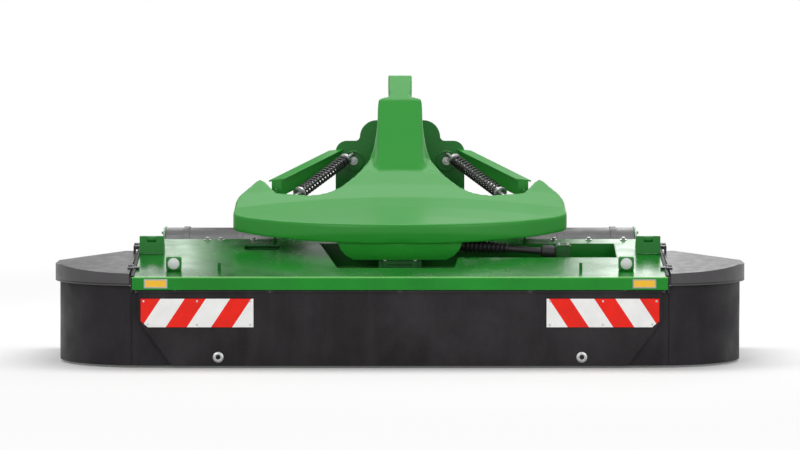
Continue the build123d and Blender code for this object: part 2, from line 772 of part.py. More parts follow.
# ---- corner brackets on the deck: a notched plate with a foot ----
bracket_x = deck_width / 2 - 69
bracket_width = 124
bracket_height = 90
bracket_distance = cover_depth - 200
bracket_plate = 10
bracket_foot = deck_top(bracket_distance + bracket_plate) + seat_gap
with BuildPart() as corner_brackets:
    for side in (-1, 1):
        with BuildSketch(Plane.XZ.offset(-at(bracket_distance))):
            with Locations((side * bracket_x, bracket_foot + bracket_height / 2)):
                Rectangle(bracket_width, bracket_height)
            with Locations((side * bracket_x, bracket_foot + bracket_height - 14)):
                Rectangle(46, 34, mode=Mode.SUBTRACT)
        extrude(amount=-bracket_plate)
        for shift in (-1, 1):
            with BuildSketch(Plane.YZ.offset(side * bracket_x + shift * (bracket_width / 2 - 4))):
                add(profile([(bracket_distance, deck_top(bracket_distance) + seat_gap),
                             (bracket_distance, deck_top(bracket_distance) + bracket_height),
                             (bracket_distance + 20, deck_top(bracket_distance) + bracket_height),
                             (bracket_distance + 110, deck_top(bracket_distance + 110) + 16),
                             (bracket_distance + 110, deck_top(bracket_distance + 110) + seat_gap)]))
            extrude(amount=4, both=True)
corner_brackets.part.label = "corner_brackets"
export_step(corner_brackets.part, "parts/corner_brackets.step")

# ---- drive: centre gearbox, side shaft in its guard, side gearbox over a disc ----
gearbox_half = 110
side_shaft_y = 605
side_shaft_start = (gearbox_half + 2.8, at(side_shaft_y), 598)
side_box_x = 840
side_shaft_end = (side_box_x - 40 - 2.8, at(side_shaft_y), 542)
with BuildPart() as centre_gearbox:
    with BuildSketch(Plane.YZ):
        add(profile([(520, recess_floor + recess_wall + seat_gap), (520, 610), (560, 640), (640, 640), (640, 735),
                     (655, 750), (758, 750), (758, recess_floor + recess_wall + seat_gap)]))
    extrude(amount=gearbox_half, both=True)
    fillet(centre_gearbox.edges().filter_by(Axis.Y).group_by(Axis.Z)[-1], radius=18)
    with BuildSketch(Plane.XZ.offset(-at(758))):
        with Locations((0, drive_z)):
            Circle(guard_radius)
    extrude(amount=-14)
    with BuildSketch(Plane.XZ.offset(-at(750))):
        with Locations((0, drive_z)):
            Circle(pto_radius + 10 + running)
    extrude(amount=-30, mode=Mode.SUBTRACT)
centre_gearbox.part.label = "centre_gearbox"
export_step(centre_gearbox.part, "parts/centre_gearbox.step")

with BuildPart() as side_shaft:
    with BuildSketch(along(side_shaft_start, side_shaft_end)):
        Circle(30)
    extrude(amount=length_between(side_shaft_start, side_shaft_end))
    with BuildSketch(along(side_shaft_start, side_shaft_end).offset(8)):
        Circle(40)
    extrude(amount=70)
side_shaft.part.label = "side_shaft"
export_step(side_shaft.part, "parts/side_shaft.step")

with BuildPart() as side_gearbox:
    with BuildSketch(Plane.XY.offset(recess_floor + recess_wall + seat_gap)):
        with Locations((side_box_x, at(side_shaft_y))):
            RectangleRounded(76, 96, 12)
    extrude(amount=150)
    with BuildSketch(Plane.XY.offset(recess_floor + recess_wall + seat_gap)):
        with Locations((side_box_x, at(side_shaft_y))):
            Circle(75)
    extrude(amount=16)
    with BuildSketch(Plane.YZ.offset(side_box_x - 40)):
        with Locations((at(side_shaft_y), 542)):
            Circle(42)
    extrude(amount=30)
side_gearbox.part.label = "side_gearbox"
export_step(side_gearbox.part, "parts/side_gearbox.step")

# ---- headstock: cross tube, side plates with lower pins, mast and top-link ears ----
cross_y = 1630
cross_z = 580
side_x = hitch_spread / 2 - 8
stock_plate = 12
wall_y = 1560
top_z = hitch_z + mast_height
top_y = 1655
leg_plate_in = leg_x - leg_size / 2 - 8
stock_rear = hitch_y + 40
ear_rear = top_y + 35
foot_front = leg_pivot_y - 35
foot_rear = leg_pivot_y + 35
foot_low = leg_pivot_z - 30
wall_half = 345
wall_shoulder = 1080
mast_half = 215
mast_shoulder = 1190
wall_outline = [
    (wall_half, 540), (wall_half, wall_shoulder), (mast_half, wall_shoulder), (mast_half, mast_shoulder),
    (0, mast_shoulder),
]
wall_corners = [60, 24, 90]
with BuildPart() as headstock:
    with BuildSketch(Plane.YZ):
        with Locations((at(cross_y), cross_z)):
            Rectangle(cross_tube, cross_tube)
            Rectangle(cross_tube - 16, cross_tube - 16, mode=Mode.SUBTRACT)
    extrude(amount=side_x, both=True)
    with BuildSketch(Plane.XZ.offset(-at(wall_y))):
        with BuildLine():
            FilletPolyline(*wall_outline, radius=wall_corners)
            FilletPolyline(*[(-x, z) for x, z in wall_outline], radius=wall_corners)
            Line(wall_outline[0], (-wall_outline[0][0], wall_outline[0][1]))
        make_face()
        with Locations((0, drive_z)):
            Circle(guard_radius + 12, mode=Mode.SUBTRACT)
    extrude(amount=-stock_plate)
    for side in (-1, 1):
        with BuildSketch(Plane.YZ.offset(side * side_x)):
            add(profile([(wall_y, 520), (wall_y, 760), (hitch_y - 25, 780), (stock_rear - 5, 720),
                         (stock_rear, 560), (foot_rear, foot_low), (foot_front, foot_low),
                         (foot_front - 15, 520)]))
        extrude(amount=-side * stock_plate)
        with BuildSketch(Plane.YZ.offset(side * leg_plate_in)):
            add(profile([(foot_front - 20, 545), (foot_rear, 545), (foot_rear, foot_low),
                         (foot_front, foot_low)]))
        extrude(amount=-side * stock_plate)
        with BuildSketch(Plane.YZ.offset(side * (leg_plate_in - stock_plate))):
            with Locations((at(leg_pivot_y), leg_pivot_z)):
                Circle(leg_pin)
        extrude(amount=side * (side_x - leg_plate_in + stock_plate))
        with BuildSketch(Plane.YZ.offset(side * side_x)):
            with Locations((at(hitch_y), hitch_z)):
                Circle(26)
        extrude(amount=side * 8)
        with BuildSketch(Plane.YZ.offset(side * side_x)):
            with Locations((at(hitch_y), hitch_z)):
                Circle(hitch_pin_radius)
        extrude(amount=side * (8 + hitch_pin_length))
        with BuildSketch(Plane.YZ.offset(side * (ear_gap / 2 + ear_thick))):
            add(profile([(wall_y + stock_plate, 900), (wall_y + stock_plate, mast_shoulder),
                         (top_y - 55, top_z + 40), (ear_rear, top_z + 40), (ear_rear + 10, top_z - 30),
                         (top_y + 5, 1000), (top_y - 15, 900)]))
        extrude(amount=-side * ear_thick)
    with BuildSketch(Plane.YZ):
        with Locations((at(top_y), top_z)):
            Circle(top_pin_radius)
    extrude(amount=ear_gap, both=True, mode=Mode.SUBTRACT)
    with BuildSketch(Plane.XZ.offset(-at(wall_y + stock_plate))):
        with Locations((0, drive_z)):
            Circle(guard_radius + 26)
            Circle(pto_radius + 12 + running, mode=Mode.SUBTRACT)
        with Locations((0, (drive_z + cross_z) / 2 - 20)):
            Rectangle(90, 60)
    extrude(amount=-40)
headstock.part.label = "headstock"
export_step(headstock.part, "parts/headstock.step")

# ---- guard tube and input shaft ----
guard_start = 774
with BuildPart() as shaft_guard:
    with BuildSketch(Plane.XZ.offset(-at(guard_start))):
        with Locations((0, drive_z)):
            Circle(guard_radius)
            Circle(pto_radius + 16, mode=Mode.SUBTRACT)
    extrude(amount=-(wall_y + stock_plate - guard_start - seat_gap))
shaft_guard.part.label = "shaft_guard"
export_step(shaft_guard.part, "parts/shaft_guard.step")

input_rear = wall_y + stock_plate + 40
with BuildPart() as input_shaft:
    with BuildSketch(Plane.XZ.offset(-at(754))):
        with Locations((0, drive_z)):
            Circle(pto_radius + 10)
    extrude(amount=-(input_rear + 6 - 754))
    with BuildSketch(Plane.XZ.offset(-at(input_rear))):
        with Locations((0, drive_z)):
            Circle(pto_radius)
    extrude(amount=-(pto_length + 6))
input_shaft.part.label = "input_shaft"
export_step(input_shaft.part, "parts/input_shaft.step")

# ---- suspension: lower arms, float arms, upper link, springs, all cut flush with the headstock's wall ----
wall_face = Plane.XZ.offset(-at(wall_y - seat_gap))
with BuildPart() as lower_arms:
    for side in (-1, 1):
        start = (side * (upright_x - 32), at(arm_pin_y), arm_pin_z)
        end = (side * 318, at(wall_y + 20), 640)
        with BuildSketch(along(start, end)):
            RectangleRounded(56, 56, 8)
        extrude(amount=length_between(start, end))
    split(bisect_by=wall_face, keep=Keep.TOP)
lower_arms.part.label = "lower_arms"
export_step(lower_arms.part, "parts/lower_arms.step")

with BuildPart() as float_arms:
    for side in (-1, 1):
        start = (side * 660, at(1028), 840)
        end = (side * 318, at(wall_y + 40), 992)
        with BuildSketch(along(start, end)):
            Rectangle(44, 84)
        extrude(amount=length_between(start, end))
    split(bisect_by=wall_face, keep=Keep.TOP)
    split(bisect_by=Plane.XZ.offset(-at(upright_rear + seat_gap)), keep=Keep.BOTTOM)
float_arms.part.label = "float_arms"
export_step(float_arms.part, "parts/float_arms.step")

with BuildPart() as upper_link:
    start = (0, at(link_pin_y), link_pin_z)
    end = (0, at(wall_y + 20), 1125)
    with BuildSketch(along(start, end)):
        Circle(22)
    extrude(amount=length_between(start, end))
    with BuildSketch(Plane.YZ):
        with Locations(start[1:]):
            Circle(26)
    extrude(amount=mast_x - mast_thick / 2 - seat_gap, both=True)
    split(bisect_by=wall_face, keep=Keep.TOP)
upper_link.part.label = "upper_link"
export_step(upper_link.part, "parts/upper_link.step")

with BuildPart() as float_springs:
    for side in (-1, 1):
        start = (side * spring_x, at(spring_y), spring_z)
        end = (side * 240, at(wall_y + 20), 1018)
        reach = length_between(start, end)
        with BuildSketch(along(start, end)):
            Circle(11)
        extrude(amount=reach)
        with BuildSketch(along(start, end).offset(70)):
            Circle(36)
        extrude(amount=reach - 180)
        with BuildSketch(Plane.YZ.offset(side * spring_x)):
            with Locations((at(spring_y), spring_z)):
                Circle(spring_pin + 9)
        extrude(amount=15, both=True)
        with BuildSketch(Plane.YZ.offset(side * spring_x)):
            with Locations((at(spring_y), spring_z)):
                Circle(spring_pin + running)
        extrude(amount=40, both=True, mode=Mode.SUBTRACT)
    split(bisect_by=wall_face, keep=Keep.TOP)
float_springs.part.label = "float_springs"
export_step(float_springs.part, "parts/float_springs.step")

# ---- parking legs, each on a pin in the headstock's foot plates ----
foot_forward = 40
foot_back = 16
for name, side in sides:
    with BuildPart() as parking_leg:
        with BuildSketch(Plane.XY):
            with Locations((side * leg_x, at(leg_pivot_y))):
                Rectangle(leg_size, leg_size)
        extrude(amount=leg_pivot_z + leg_size / 2)
        with BuildSketch(Plane.XY):
            with Locations((side * leg_x, at(leg_pivot_y + (foot_back - foot_forward) / 2))):
                Rectangle(leg_size + 30, foot_back + foot_forward)
        extrude(amount=10)
        with BuildSketch(Plane.YZ.offset(side * leg_x)):
            with Locations((at(leg_pivot_y), leg_pivot_z)):
                Circle(leg_pin + running)
        extrude(amount=leg_size, both=True, mode=Mode.SUBTRACT)
    parking_leg.part.label = f"parking_leg_{name}"
    export_step(parking_leg.part, f"parts/parking_leg_{name}.step")

# ---- shroud: a crowned sheet trimmed to its plan, wide over the deck, a neck over the headstock ----
shroud_half = 857
tip_distance = 740
neck_half = 126
cap_half = 61
front_bulge = 440
shroud_plan = [
    (shroud_half, 850), (724, 1005), (642, 884), (400, 818), (225, 965), (neck_half + 8, 1110), (neck_half, 1240),
    (cap_half, 1262), (cap_half, 1412),
]
shroud_corners = [120, 30, 40, 150, 150, 80, 14, 10, 12]


def shroud_outline(inset):
    """Plan of the shroud, pulled in by inset."""
    with BuildSketch() as shape:
        with BuildLine():
            ThreePointArc((-shroud_half, at(tip_distance - 20)), (0, at(front_bulge)),
                          (shroud_half, at(tip_distance - 20)))
            FilletPolyline((shroud_half, at(tip_distance - 20)), *[(x, at(d)) for x, d in shroud_plan],
                           (0, at(shroud_plan[-1][1])), radius=shroud_corners)
            FilletPolyline((-shroud_half, at(tip_distance - 20)), *[(-x, at(d)) for x, d in shroud_plan],
                           (0, at(shroud_plan[-1][1])), radius=shroud_corners)
        make_face()
        if inset:
            offset(amount=-inset, mode=Mode.REPLACE)
    return shape.sketch


def crowned(points, inset):
    """Solid turned about the far crown axis from a side profile, and trimmed to the plan."""
    with BuildPart() as solid:
        with BuildSketch(Plane.YZ):
            add(profile(points))
        revolve(axis=Axis((0, 0, crown_centre), (0, 1, 0)), revolution_arc=8.4)
        mirror(about=Plane.YZ)
        with BuildSketch(Plane.XY.offset(400)):
            add(shroud_outline(inset))
        extrude(amount=1200, mode=Mode.INTERSECT)
    return solid.part


inner_top = [(distance + shroud_sheet * 0.4, height - shroud_sheet) for distance, height in shroud_top]
inner_under = [(distance + 20, height - 90) for distance, height in shroud_under[:-1]]
inner_under.append((front_bulge, shroud_under[-1][1] - 90))
with BuildPart() as front_shroud:
    add(crowned(shroud_top + shroud_under, 0))
    add(crowned(inner_top + inner_under, shroud_sheet), mode=Mode.SUBTRACT)
front_shroud.part.label = "front_shroud"
export_step(front_shroud.part, "parts/front_shroud.step")

# ---- chin: the shroud's lower front, a skirt before the gearbox, seated behind the shroud's front wall ----
chin_rear = 555
chin_wall = 4
chin_steps = [       # height, half width, setback from the shroud's inner face
    (650, 345, 0), (600, 318, 2), (562, 304, 14), (532, 278, 32), (510, 238, 52),
]
bulge_depth = tip_distance - 20 - front_bulge
bulge_radius = (shroud_half ** 2 + bulge_depth ** 2) / (2 * bulge_depth)


def chin_section(height, half, setback, inset):
    """Level section of the chin: the shroud's front curve set back, and straight sides."""
    radius = bulge_radius - shroud_sheet - seat_gap - setback - inset
    front = front_bulge + shroud_sheet + seat_gap + setback + inset
    corner = front + radius - sqrt(radius ** 2 - (half - inset) ** 2)
    rear = chin_rear + 2 * inset
    with BuildSketch(Plane.XY.offset(height)) as shape:
        with BuildLine():
            ThreePointArc((inset - half, at(corner)), (0, at(front)), (half - inset, at(corner)))
            Polyline((half - inset, at(corner)), (half - inset, at(rear)), (inset - half, at(rear)),
                     (inset - half, at(corner)))
        make_face()
    return shape.sketch


with BuildPart() as shroud_chin:
    for inset, mode in ((0, Mode.ADD), (chin_wall, Mode.SUBTRACT)):
        sections = [chin_section(*step, inset) for step in chin_steps]
        for upper, lower in zip(sections, sections[1:]):
            loft([upper, lower], ruled=True, mode=mode)
shroud_chin.part.label = "shroud_chin"
export_step(shroud_chin.part, "parts/shroud_chin.step")
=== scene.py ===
from math import atan2, ceil, cos, hypot, pi, radians, sin, sqrt
import bmesh
import bpy
from mathutils import Matrix, Quaternion, Vector


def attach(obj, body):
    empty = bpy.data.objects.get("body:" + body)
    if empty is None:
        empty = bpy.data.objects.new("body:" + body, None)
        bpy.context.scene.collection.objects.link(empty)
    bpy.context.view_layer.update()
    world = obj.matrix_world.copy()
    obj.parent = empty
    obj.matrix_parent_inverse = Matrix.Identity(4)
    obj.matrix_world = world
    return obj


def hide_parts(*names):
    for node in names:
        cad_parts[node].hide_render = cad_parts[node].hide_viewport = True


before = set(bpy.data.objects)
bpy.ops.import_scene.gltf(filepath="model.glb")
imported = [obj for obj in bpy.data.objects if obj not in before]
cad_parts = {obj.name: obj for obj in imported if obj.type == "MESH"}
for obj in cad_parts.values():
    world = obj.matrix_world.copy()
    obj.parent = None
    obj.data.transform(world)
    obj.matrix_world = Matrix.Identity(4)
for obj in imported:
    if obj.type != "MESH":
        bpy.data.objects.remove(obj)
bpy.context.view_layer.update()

# Front disc mower conditioner, dressed over its CAD frame.
# Metres. X to the right seen from the front, the front is at -Y, Z up, ground at 0.

HANDS = (("left", -1), ("right", 1))
SIDES = (-1, 1)
MILLIMETRE = 0.001
FRONT = -1.0             # Y of the machine's front
BOX_TOP = 1.4328         # nothing visible stands higher
LIP_TOP = 455            # height of the deck's upper face at its lip, in millimetres
LIP_BACK = 3             # how far that edge lies behind the front, in millimetres
DECK_RISE = 0.16196      # how much the deck rises for each step back


def behind(distance):
    """Y of a place this many millimetres behind the machine's front."""
    return distance * MILLIMETRE + FRONT


def deck_height(distance):
    """Height of the deck's upper face, that far behind the front."""
    return (LIP_TOP + (distance - LIP_BACK) * DECK_RISE) * MILLIMETRE


# ---- finishes

def tone(red, green, blue):
    """A colour as the eye reads it, 0 to 255, turned to the shader's scale."""
    parts = [value / 255 for value in (red, green, blue)]
    return tuple(p / 12.92 if p < 0.04045 else ((p + 0.055) / 1.055) ** 2.4 for p in parts) + (1.0,)


def direct_share(tree):
    """1 for what the camera sees, also mirrored or through glass, 0 for other light."""
    paths = tree.nodes.new("ShaderNodeLightPath")
    share = paths.outputs["Is Camera Ray"]
    for kind in ("Is Glossy Ray", "Is Transmission Ray"):
        either = tree.nodes.new("ShaderNodeMath")
        either.operation = "MAXIMUM"
        tree.links.new(share, either.inputs[0])
        tree.links.new(paths.outputs[kind], either.inputs[1])
        share = either.outputs[0]
    return share


class Finish:
    """A surface finish: one shader, and the textures that vary it over the piece."""

    def __init__(self, name, **settings):
        self.material = bpy.data.materials.new(name)
        self.material.use_nodes = True
        self.tree = self.material.node_tree
        self.shader = self.tree.nodes["Principled BSDF"]
        self.fill(self.shader, settings)
        self.place = self.node("TexCoord").outputs["Object"]
        self.normal = None

    def put(self, value, socket):
        """Joins the socket to another socket, or sets it to a plain value."""
        if isinstance(value, bpy.types.NodeSocket):
            self.tree.links.new(value, socket)
        else:
            socket.default_value = value

    def fill(self, node, settings):
        for name, value in settings.items():
            self.put(value, node.inputs[name.replace("_", " ")])

    def node(self, kind, **settings):
        """A new node with some inputs filled by name."""
        node = self.tree.nodes.new("ShaderNode" + kind)
        self.fill(node, settings)
        return node

    def clouds(self, scale, detail, stretch=None, ragged=0.5):
        place = self.place
        if stretch:
            place = self.node("Mapping", Vector=place, Scale=stretch).outputs[0]
        noise = self.node("TexNoise", Vector=place, Scale=scale, Detail=detail, Roughness=ragged)
        return noise.outputs[0]

    def threads(self, direction, scale):
        wave = self.node("TexWave", Vector=self.place, Scale=scale)
        wave.bands_direction = direction
        return wave.outputs["Fac"]

    def cells(self, scale, feature="F1"):
        voronoi = self.node("TexVoronoi", Vector=self.place, Scale=scale)
        voronoi.feature = feature
        return voronoi.outputs["Distance"]

    def spread(self, value, low, high, start=0.35, end=0.65):
        """The value between start and end, drawn out to between low and high."""
        fit = self.node("MapRange", Value=value, From_Min=start, From_Max=end, To_Min=low,
            To_Max=high)
        return fit.outputs[0]

    def varied(self, scale, detail, low, high, start=0.35, end=0.65):
        """Clouds drawn out to between low and high."""
        return self.spread(self.clouds(scale, detail), low, high, start, end)

    def maths(self, first, second, operation="ADD"):
        node = self.node("Math")
        node.operation = operation
        self.put(first, node.inputs[0])
        self.put(second, node.inputs[1])
        return node.outputs[0]

    def part(self, axis):
        """One coordinate of the place on the piece."""
        return self.node("SeparateXYZ", Vector=self.place).outputs[axis]

    def line_at(self, height, low, near, far):
        """A level line at a height: low when near it, falling to 0 when far from it."""
        away = self.maths(self.maths(self.part(2), height, "SUBTRACT"), 0, "ABSOLUTE")
        return self.spread(away, low, 0, near, far)

    def mixed(self, share, first, second):
        """Two colours, each three numbers or a socket, mixed by a share from 0 to 1."""
        mix = self.node("Mix")
        mix.data_type = "RGBA"
        self.put(share, mix.inputs[0])
        for colour, socket in ((first, mix.inputs[6]), (second, mix.inputs[7])):
            self.put(tone(*colour) if isinstance(colour, tuple) else colour, socket)
        return mix.outputs[2]

    def colour(self, source):
        self.put(source, self.shader.inputs["Base Color"])

    def roughness(self, source):
        self.put(source, self.shader.inputs["Roughness"])

    def relief(self, source, depth, strength):
        """Raises and sinks the surface, on top of the relief that is there."""
        bump = self.node("Bump", Height=source, Distance=depth, Strength=strength)
        if self.normal:
            self.put(self.normal, bump.inputs["Normal"])
        self.normal = bump.outputs["Normal"]
        self.put(self.normal, self.shader.inputs["Normal"])


def gloss_paint(name, deep, pale, rough, coat, gloss=0.5):
    """Gloss paint: faint tone drift, specks of soil, orange peel."""
    paint = Finish(name, Coat_Weight=coat, Coat_Roughness=0.12, Specular_IOR_Level=gloss)
    drift = paint.varied(1.7, 4, 0, 1)
    soil = paint.varied(60, 3, 0, 0.35)
    paint.colour(paint.mixed(paint.maths(drift, soil, "MAXIMUM"), deep, pale))
    paint.roughness(paint.varied(9, 5, rough - 0.05, rough + 0.07))
    paint.relief(paint.clouds(420, 2), 0.00003, 0.35)
    return paint


def even_paint(name, deep, pale, rough, gloss):
    """Paint on a smooth moulding, with no more than a slow drift."""
    paint = Finish(name, Specular_IOR_Level=gloss)
    paint.colour(paint.mixed(paint.varied(1.3, 0, 0, 1, 0.15, 0.85), deep, pale))
    paint.roughness(paint.varied(0.9, 0, rough - 0.02, rough + 0.03, 0.15, 0.85))
    return paint


def deck_paint(name, deep, pale, painted_shade_tone, painted_highlight_tone):
    """Paint darkened on the upper face by painted shade, with a painted highlight line along the
    lip's edge.
    """
    paint = Finish(name, Specular_IOR_Level=0.2)
    fresh = paint.mixed(paint.varied(2.1, 4, 0, 1), deep, pale)
    # Painted shade: the upper face takes a drifting share of the dark tone.
    upper = paint.spread(paint.part(2), 0.55, 0.85, LIP_EDGE, LIP_EDGE + 0.0035)
    shade_share = paint.maths(upper, paint.varied(3.4, 5, 0.75, 1.0), "MULTIPLY")
    # Painted highlight: a pale line along the lip's edge.
    wear_and_highlight = paint.line_at(LIP_EDGE, 0.7, 0.0022, 0.0046)
    paint.colour(paint.mixed(wear_and_highlight, paint.mixed(shade_share, fresh, painted_shade_tone), painted_highlight_tone))
    paint.roughness(paint.varied(7, 5, 0.19, 0.29))
    paint.relief(paint.clouds(420, 2), 0.00002, 0.35)
    return paint


def cast_paint(name, deep, pale):
    """Thick paint on a sand casting."""
    paint = Finish(name, Specular_IOR_Level=0.25, Coat_Weight=0.05, Coat_Roughness=0.3)
    paint.colour(paint.mixed(paint.varied(26, 5, 0, 1), deep, pale))
    paint.roughness(paint.varied(40, 4, 0.38, 0.55))
    paint.relief(paint.clouds(240, 4), 0.0008, 0.6)
    return paint


def moulded(name, deep, pale, rough, grain, groove=None):
    """Moulded plastic with a fine grain, places worn pale and a line of painted shade for a groove
    at a height.
    """
    plastic = Finish(name, Specular_IOR_Level=0.45)
    wear_and_highlight = plastic.spread(plastic.clouds(3.2, 6, ragged=0.6), 0, 1, 0.42, 0.68)
    fine = plastic.varied(140, 2, 0, 0.4)
    body = plastic.mixed(plastic.maths(wear_and_highlight, fine, "MAXIMUM"), deep, pale)
    plastic.roughness(plastic.varied(18, 4, rough - 0.04, rough + 0.05))
    plastic.relief(plastic.clouds(700, 2), grain, 0.5)
    if groove:
        # Painted shade: a dark line at the groove's height.
        body = plastic.mixed(plastic.line_at(groove, 1, 0.0018, 0.0045), body, (22, 21, 22))
    plastic.colour(body)
    return plastic


def coated_cloth(name, deep, pale, dust):
    """Woven cloth under a rubber coat: weave, slow folds, dust and smudges."""
    cloth = Finish(name, Sheen_Weight=0.05, Sheen_Roughness=0.5, Specular_IOR_Level=0.18)
    smudge = cloth.spread(cloth.clouds(2.4, 7, (1.0, 1.0, 0.7), 0.62), 0, 1, 0.45, 0.75)
    streak = cloth.spread(cloth.clouds(9, 4, (1.0, 1.0, 0.12)), 0, 0.7, 0.45, 0.8)
    base = cloth.mixed(cloth.varied(90, 3, 0, 0.5), deep, pale)
    soil = cloth.maths(cloth.maths(smudge, streak, "MAXIMUM"), 0.5, "MULTIPLY")
    cloth.colour(cloth.mixed(soil, base, dust))
    cloth.roughness(cloth.varied(7, 5, 0.5, 0.72))
    cloth.relief(cloth.maths(cloth.threads("X", 160), cloth.threads("Z", 160), "MAXIMUM"), 0.0003,
        0.35)
    cloth.relief(cloth.clouds(5, 3, (1.0, 1.0, 0.35)), 0.006, 0.35)
    return cloth


def bare_steel(name, deep, pale, rust, rough, scratch):
    """Steel rubbed bright by crop, with brown patches and scratches."""
    steel = Finish(name, Metallic=1.0)
    patch = steel.spread(steel.clouds(11, 6, ragged=0.62), 0, 1, 0.4, 0.62)
    base = steel.mixed(steel.varied(60, 3, 0, 1), deep, pale)
    steel.colour(steel.mixed(steel.maths(patch, 0.45, "MULTIPLY"), base, rust))
    lines = steel.clouds(70, 4, scratch)
    steel.roughness(steel.spread(lines, rough - 0.1, rough + 0.12))
    steel.relief(lines, 0.0003, 0.35)
    return steel


def zinc_plate(name, pale, deep):
    """Zinc plating with its faint crystals."""
    plating = Finish(name, Metallic=1.0)
    plating.colour(plating.mixed(plating.cells(220), pale, deep))
    plating.roughness(plating.varied(45, 3, 0.26, 0.42))
    plating.relief(plating.clouds(500, 2), 0.0001, 0.4)
    return plating


def warning_sheet(name, red, white):
    """Red and white slanted stripes on a reflective sheet of fine cells."""
    sheet = Finish(name, Roughness=0.4, Specular_IOR_Level=0.2, Coat_Weight=0.1,
        Coat_Roughness=0.15)
    from_end = sheet.maths(PLATE_END, sheet.maths(sheet.part(0), 0, "ABSOLUTE"), "SUBTRACT")
    below_top = sheet.maths(PLATE_TOP, sheet.part(2), "SUBTRACT")
    along = sheet.maths(from_end, sheet.maths(below_top, STRIPE_SLANT, "MULTIPLY"))
    turn = sheet.maths(sheet.maths(along, STRIPE_START), STRIPE_PITCH, "DIVIDE")
    stripe = sheet.maths(sheet.maths(turn, 0, "FRACT"), RED_SHARE, "LESS_THAN")
    faded = sheet.mixed(sheet.varied(12, 4, 0, 0.4), white, (232, 232, 228))
    deeper = sheet.mixed(sheet.varied(12, 4, 0, 0.4), red, (214, 30, 18))
    sheet.colour(sheet.mixed(stripe, faded, deeper))
    sheet.relief(sheet.spread(sheet.cells(260, "DISTANCE_TO_EDGE"), 0, 1, 0, 0.1), 0.0001, 0.3)
    return sheet


def clear_lens(name, body, glow, ribs):
    """Lens with fine ribs both ways, pressed into coloured plastic."""
    lens = Finish(name, Roughness=0.22, Specular_IOR_Level=0.35, Coat_Weight=0.3,
        Coat_Roughness=0.06)
    squares = lens.maths(lens.threads("X", ribs), lens.threads("Z", ribs), "MULTIPLY")
    lens.colour(lens.mixed(lens.spread(squares, 0, 1, 0.1, 0.9), body, glow))
    lens.relief(squares, 0.0008, 0.6)
    return lens


LIP_EDGE = 0.4545                       # height of the deck's front edge
COVER_GROOVE = 0.421                    # height of the groove round the side covers
PLATE_END, PLATE_TOP = 1.297, 0.348     # outer end and upper edge of the striped plates
STRIPE_PITCH, STRIPE_START, STRIPE_SLANT, RED_SHARE = 0.227, 0.461, 0.667, 0.467

green_gloss = gloss_paint("green_gloss_paint", (24, 122, 38), (32, 134, 46), 0.26, 0.15, 0.25)
# The third colour is painted shade on the deck's upper face, the fourth a painted highlight along
# the lip's edge.
green_deck = deck_paint("green_deck_paint", (32, 168, 46), (40, 178, 54), (14, 80, 24),
    (120, 204, 104))
green_cover = even_paint("green_shroud_gloss", (44, 150, 50), (50, 156, 56), 0.3, 0.3)
# Darker than the green paint: painted shade for the gearboxes in the shaded recess under the
# shroud; the weld beads share it.
green_casting = cast_paint("green_casting_paint", (16, 72, 26), (26, 94, 36))
black_satin = gloss_paint("black_satin_paint", (24, 24, 25), (38, 38, 39), 0.42, 0.1)
black_guard = moulded("black_guard_plastic", (20, 20, 21), (38, 37, 38), 0.5, 0.00005)
grey_cover = moulded("grey_cover_plastic", (63, 61, 63), (73, 71, 73), 0.44, 0.00006, COVER_GROOVE)
curtain_cloth = coated_cloth("curtain_cloth", (30, 27, 29), (38, 35, 37), (70, 67, 70))
corner_cloth = coated_cloth("corner_curtain_cloth", (32, 29, 32), (38, 35, 38), (66, 63, 66))
black_rubber = moulded("black_rubber", (18, 18, 18), (32, 31, 32), 0.6, 0.00006)
bar_paint = gloss_paint("dark_bar_paint", (42, 42, 43), (62, 60, 58), 0.45, 0.0)
worn_steel = bare_steel("worn_steel", (120, 118, 114), (176, 174, 170), (112, 88, 66), 0.38,
    (1, 5, 1))
zinc = zinc_plate("zinc_plating", (205, 206, 204), (150, 152, 153))
spring_black = gloss_paint("spring_coating", (26, 26, 27), (44, 44, 45), 0.36, 0.3)
stripes = warning_sheet("warning_stripes", (252, 32, 12), (255, 255, 254))
amber_lens = clear_lens("amber_reflector", (252, 188, 20), (255, 218, 54), 70)
white_lens = clear_lens("white_lamp_lens", (224, 226, 226), (250, 250, 250), 90)
bare_back = moulded("plate_backing", (158, 160, 158), (192, 194, 190), 0.4, 0.00003)


# ---- workshop

CLEAN_ANGLE = 1.0        # faces that differ by less than this many degrees become one
SHARP_ANGLE = 32         # edges that turn by more degrees are broken
FLAT_ANGLE = 34          # edges that turn by more degrees stay sharp to the eye


def drop_all():
    bpy.ops.object.select_all(action="DESELECT")


def pick(*pieces):
    drop_all()
    for piece in pieces:
        piece.select_set(True)
    bpy.context.view_layer.objects.active = pieces[0]


def newest(name):
    """The piece just added, under its name."""
    piece = bpy.context.active_object
    piece.name = name
    return piece


def edit(piece, kind="FACE"):
    """Opens the piece in edit mode with nothing selected."""
    pick(piece)
    bpy.ops.object.mode_set(mode="EDIT")
    bpy.ops.mesh.select_mode(type=kind)
    bpy.ops.mesh.select_all(action="DESELECT")


def edit_all(piece, kind="VERT"):
    """Opens the piece in edit mode with everything selected."""
    edit(piece, kind)
    bpy.ops.mesh.select_all(action="SELECT")


def done():
    bpy.ops.object.mode_set(mode="OBJECT")


def choose_faces(piece, test):
    """Selects the faces whose middle and normal pass the test."""
    edit(piece)
    mesh = bmesh.from_edit_mesh(piece.data)
    for face in mesh.faces:
        if test(face.calc_center_median(), face.normal):
            face.select_set(True)
    bmesh.update_edit_mesh(piece.data)


def extrude(way):
    bpy.ops.mesh.extrude_region_move(TRANSFORM_OT_translate={"value": way})


def cut(piece, place, normal, **settings):
    """Cuts the whole piece by a plane."""
    edit_all(piece)
    bpy.ops.mesh.bisect(plane_co=place, plane_no=normal, **settings)
    done()


